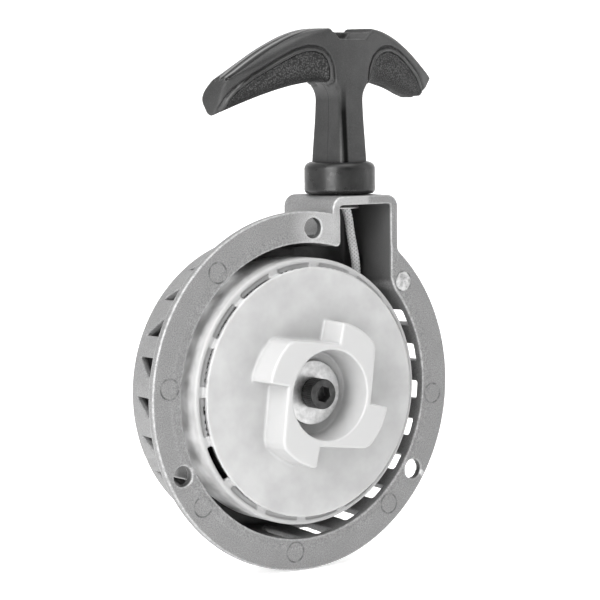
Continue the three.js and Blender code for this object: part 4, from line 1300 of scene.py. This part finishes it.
def make_handle(plastic, grip, rubber, steel_bright, rope, straight):
    """The handle with its pads and collar, and the rope's end with its knot and washer."""
    low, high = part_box("handle_body")
    corners = tuple(low / MM), tuple(high / MM)
    body = carve("t_handle", handle_body_field, *corners, 0.42)
    finish_piece(body, "handle", plastic, "handle_body")
    for side, name in ((-1, "grip_pad_left"), (1, "grip_pad_right")):
        pad = carve(name + "_moulded", pad_field(side), *corners, 0.4, 0.8)
        finish_piece(pad, "handle", grip, name)
    reach = COLLAR_R + 0.2
    collar = carve("round_collar", collar_field, (ROPE_X - reach, ROPE_Y - reach, COLLAR_LOW),
                   (ROPE_X + reach, ROPE_Y + reach, COLLAR_HIGH), 0.35)
    finish_piece(collar, "handle", rubber, "handle_collar")
    seat = POCKET_FLOOR + 0.3
    inner, outer, thick = ROPE_BORE_R, POCKET_R - 0.4, 0.9
    profile = [(inner, seat), (outer, seat), (outer, seat + thick), (inner, seat + thick)]
    washer = lathe("knot_washer_flat", rounded(profile, 0.2), 64, "Z", (ROPE_X, ROPE_Y))
    finish_piece(washer, "rope_end", steel_bright, "knot_washer")
    knot = trefoil("handle_knot_tied", (ROPE_X, ROPE_Y, seat + 4.6), 2.3, 1.3, (1, 1.0))
    finish_piece(knot, "rope_end", rope, "rope_handle_knot")
    run = rope_outer()
    run.data.materials.append(straight)
    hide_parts("rope_outer_run")
    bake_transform(run)


# ------------------------------------------------------------------ floor, light and camera

FLOOR_REACH = 2500.0
FLOOR_FLAT = 875.0
FLOOR_BEND = 900.0
FLOOR_WALL = 2600.0
CAMERA_AT = (-0.49425, -0.69030, 0.10404)  # metres
CAMERA_RIGHT = (0.81378, -0.58111, -0.00794)
CAMERA_UP = (0.05622, 0.06511, 0.99629)
CAMERA_FORWARD = (0.57844, 0.81121, -0.08565)
LENS = 151.5


def floor(material):
    """A pale sweep: flat under the part and curving up far behind it."""
    low = cad_low.z / MM - 0.3
    rows = [(-FLOOR_REACH, low), (FLOOR_FLAT, low)]
    for a in np.linspace(0.1, math.pi / 2, 14):
        rows.append((FLOOR_FLAT + FLOOR_BEND * math.sin(a), low + FLOOR_BEND * (1 - math.cos(a))))
    rows.append((rows[-1][0], low + FLOOR_WALL))
    turn = math.atan2(CAMERA_FORWARD[0], CAMERA_FORWARD[1])
    across = Vector((math.cos(turn), -math.sin(turn), 0))
    away = Vector((math.sin(turn), math.cos(turn), 0))
    points = []
    for v, z in rows:
        for u in (-FLOOR_REACH, FLOOR_REACH):
            points.append(across * u + away * v + Vector((0, 0, z)))
    faces = [(2 * i, 2 * i + 1, 2 * i + 3, 2 * i + 2) for i in range(len(rows) - 1)]
    ground = build("floor", points, faces)
    ground.data.materials.append(material)


def lamp(name, place, size, power, target=(0, 10, 20)):
    """A soft rectangular light, in metres and watts, aimed at a place in millimetres."""
    data = bpy.data.lights.new(name, "AREA")
    data.shape = "RECTANGLE"
    data.size, data.size_y = size
    data.energy = power
    light = bpy.data.objects.new(name, data)
    light.location = Vector(place)
    aim = Vector(target) * MM - light.location
    light.rotation_euler = aim.to_track_quat("-Z", "Y").to_euler()
    bpy.context.scene.collection.objects.link(light)


def backdrop():
    """White surroundings, darker on the camera's side, which gives smooth plastic its contrast."""
    world = bpy.data.worlds.new("studio")
    world.use_nodes = True
    tree = world.node_tree
    white = tree.nodes["Background"]
    white.inputs["Strength"].default_value = 0.8
    place = tree.nodes.new("ShaderNodeTexCoord").outputs["Generated"]
    towards = tree.nodes.new("ShaderNodeVectorMath")
    towards.operation = "DOT_PRODUCT"
    towards.inputs[1].default_value = -Vector(CAMERA_FORWARD)
    shade = tree.nodes.new("ShaderNodeMapRange")
    for socket, value in (("From Min", 0.55), ("From Max", 0.93), ("To Min", 1.0), ("To Max", 0.05)):
        shade.inputs[socket].default_value = value
    tree.links.new(place, towards.inputs[0])
    tree.links.new(towards.outputs["Value"], shade.inputs["Value"])
    tree.links.new(shade.outputs["Result"], white.inputs["Color"])
    bpy.context.scene.world = world


def lights():
    """Three soft lights, the strongest from the left."""
    lamp("soft_left", (-0.75, -0.35, 0.35), (0.5, 0.9), 14)
    lamp("soft_right", (0.75, -0.35, 0.25), (0.4, 0.9), 1.5)
    lamp("soft_top", (-0.1, -0.15, 0.9), (0.9, 0.7), 6)
    backdrop()
    bpy.context.scene.view_settings.view_transform = "Standard"


def camera():
    """The long lens of a product shot, from the left of the flange and a little above it."""
    data = bpy.data.cameras.new("camera")
    data.sensor_width = 36
    data.lens = LENS
    data.clip_end = 20
    view = bpy.data.objects.new("camera", data)
    axes = Matrix((CAMERA_RIGHT, CAMERA_UP, -Vector(CAMERA_FORWARD))).transposed()
    view.matrix_world = Matrix.Translation(CAMERA_AT) @ axes.to_4x4()
    bpy.context.scene.collection.objects.link(view)
    bpy.context.scene.camera = view


camera()
lights()
floor(pale_floor())

steel_bright = steel("bright_steel", 0.42, 0.6, 0.36)
steel_spring = steel("spring_steel", 0.08, 0.14, 0.34)
black_oxide = steel("black_oxide", 0.035, 0.06, 0.42)
rope = rope_nylon()
nylon = white_nylon()
make_housing(cast_aluminium(), steel_bright, steel_spring, black_oxide, rope)
make_reel(nylon, steel_bright, steel_spring, rope)
make_handle(black_plastic(), soft_grip(), black_rubber(), steel_bright, rope, straight_rope())
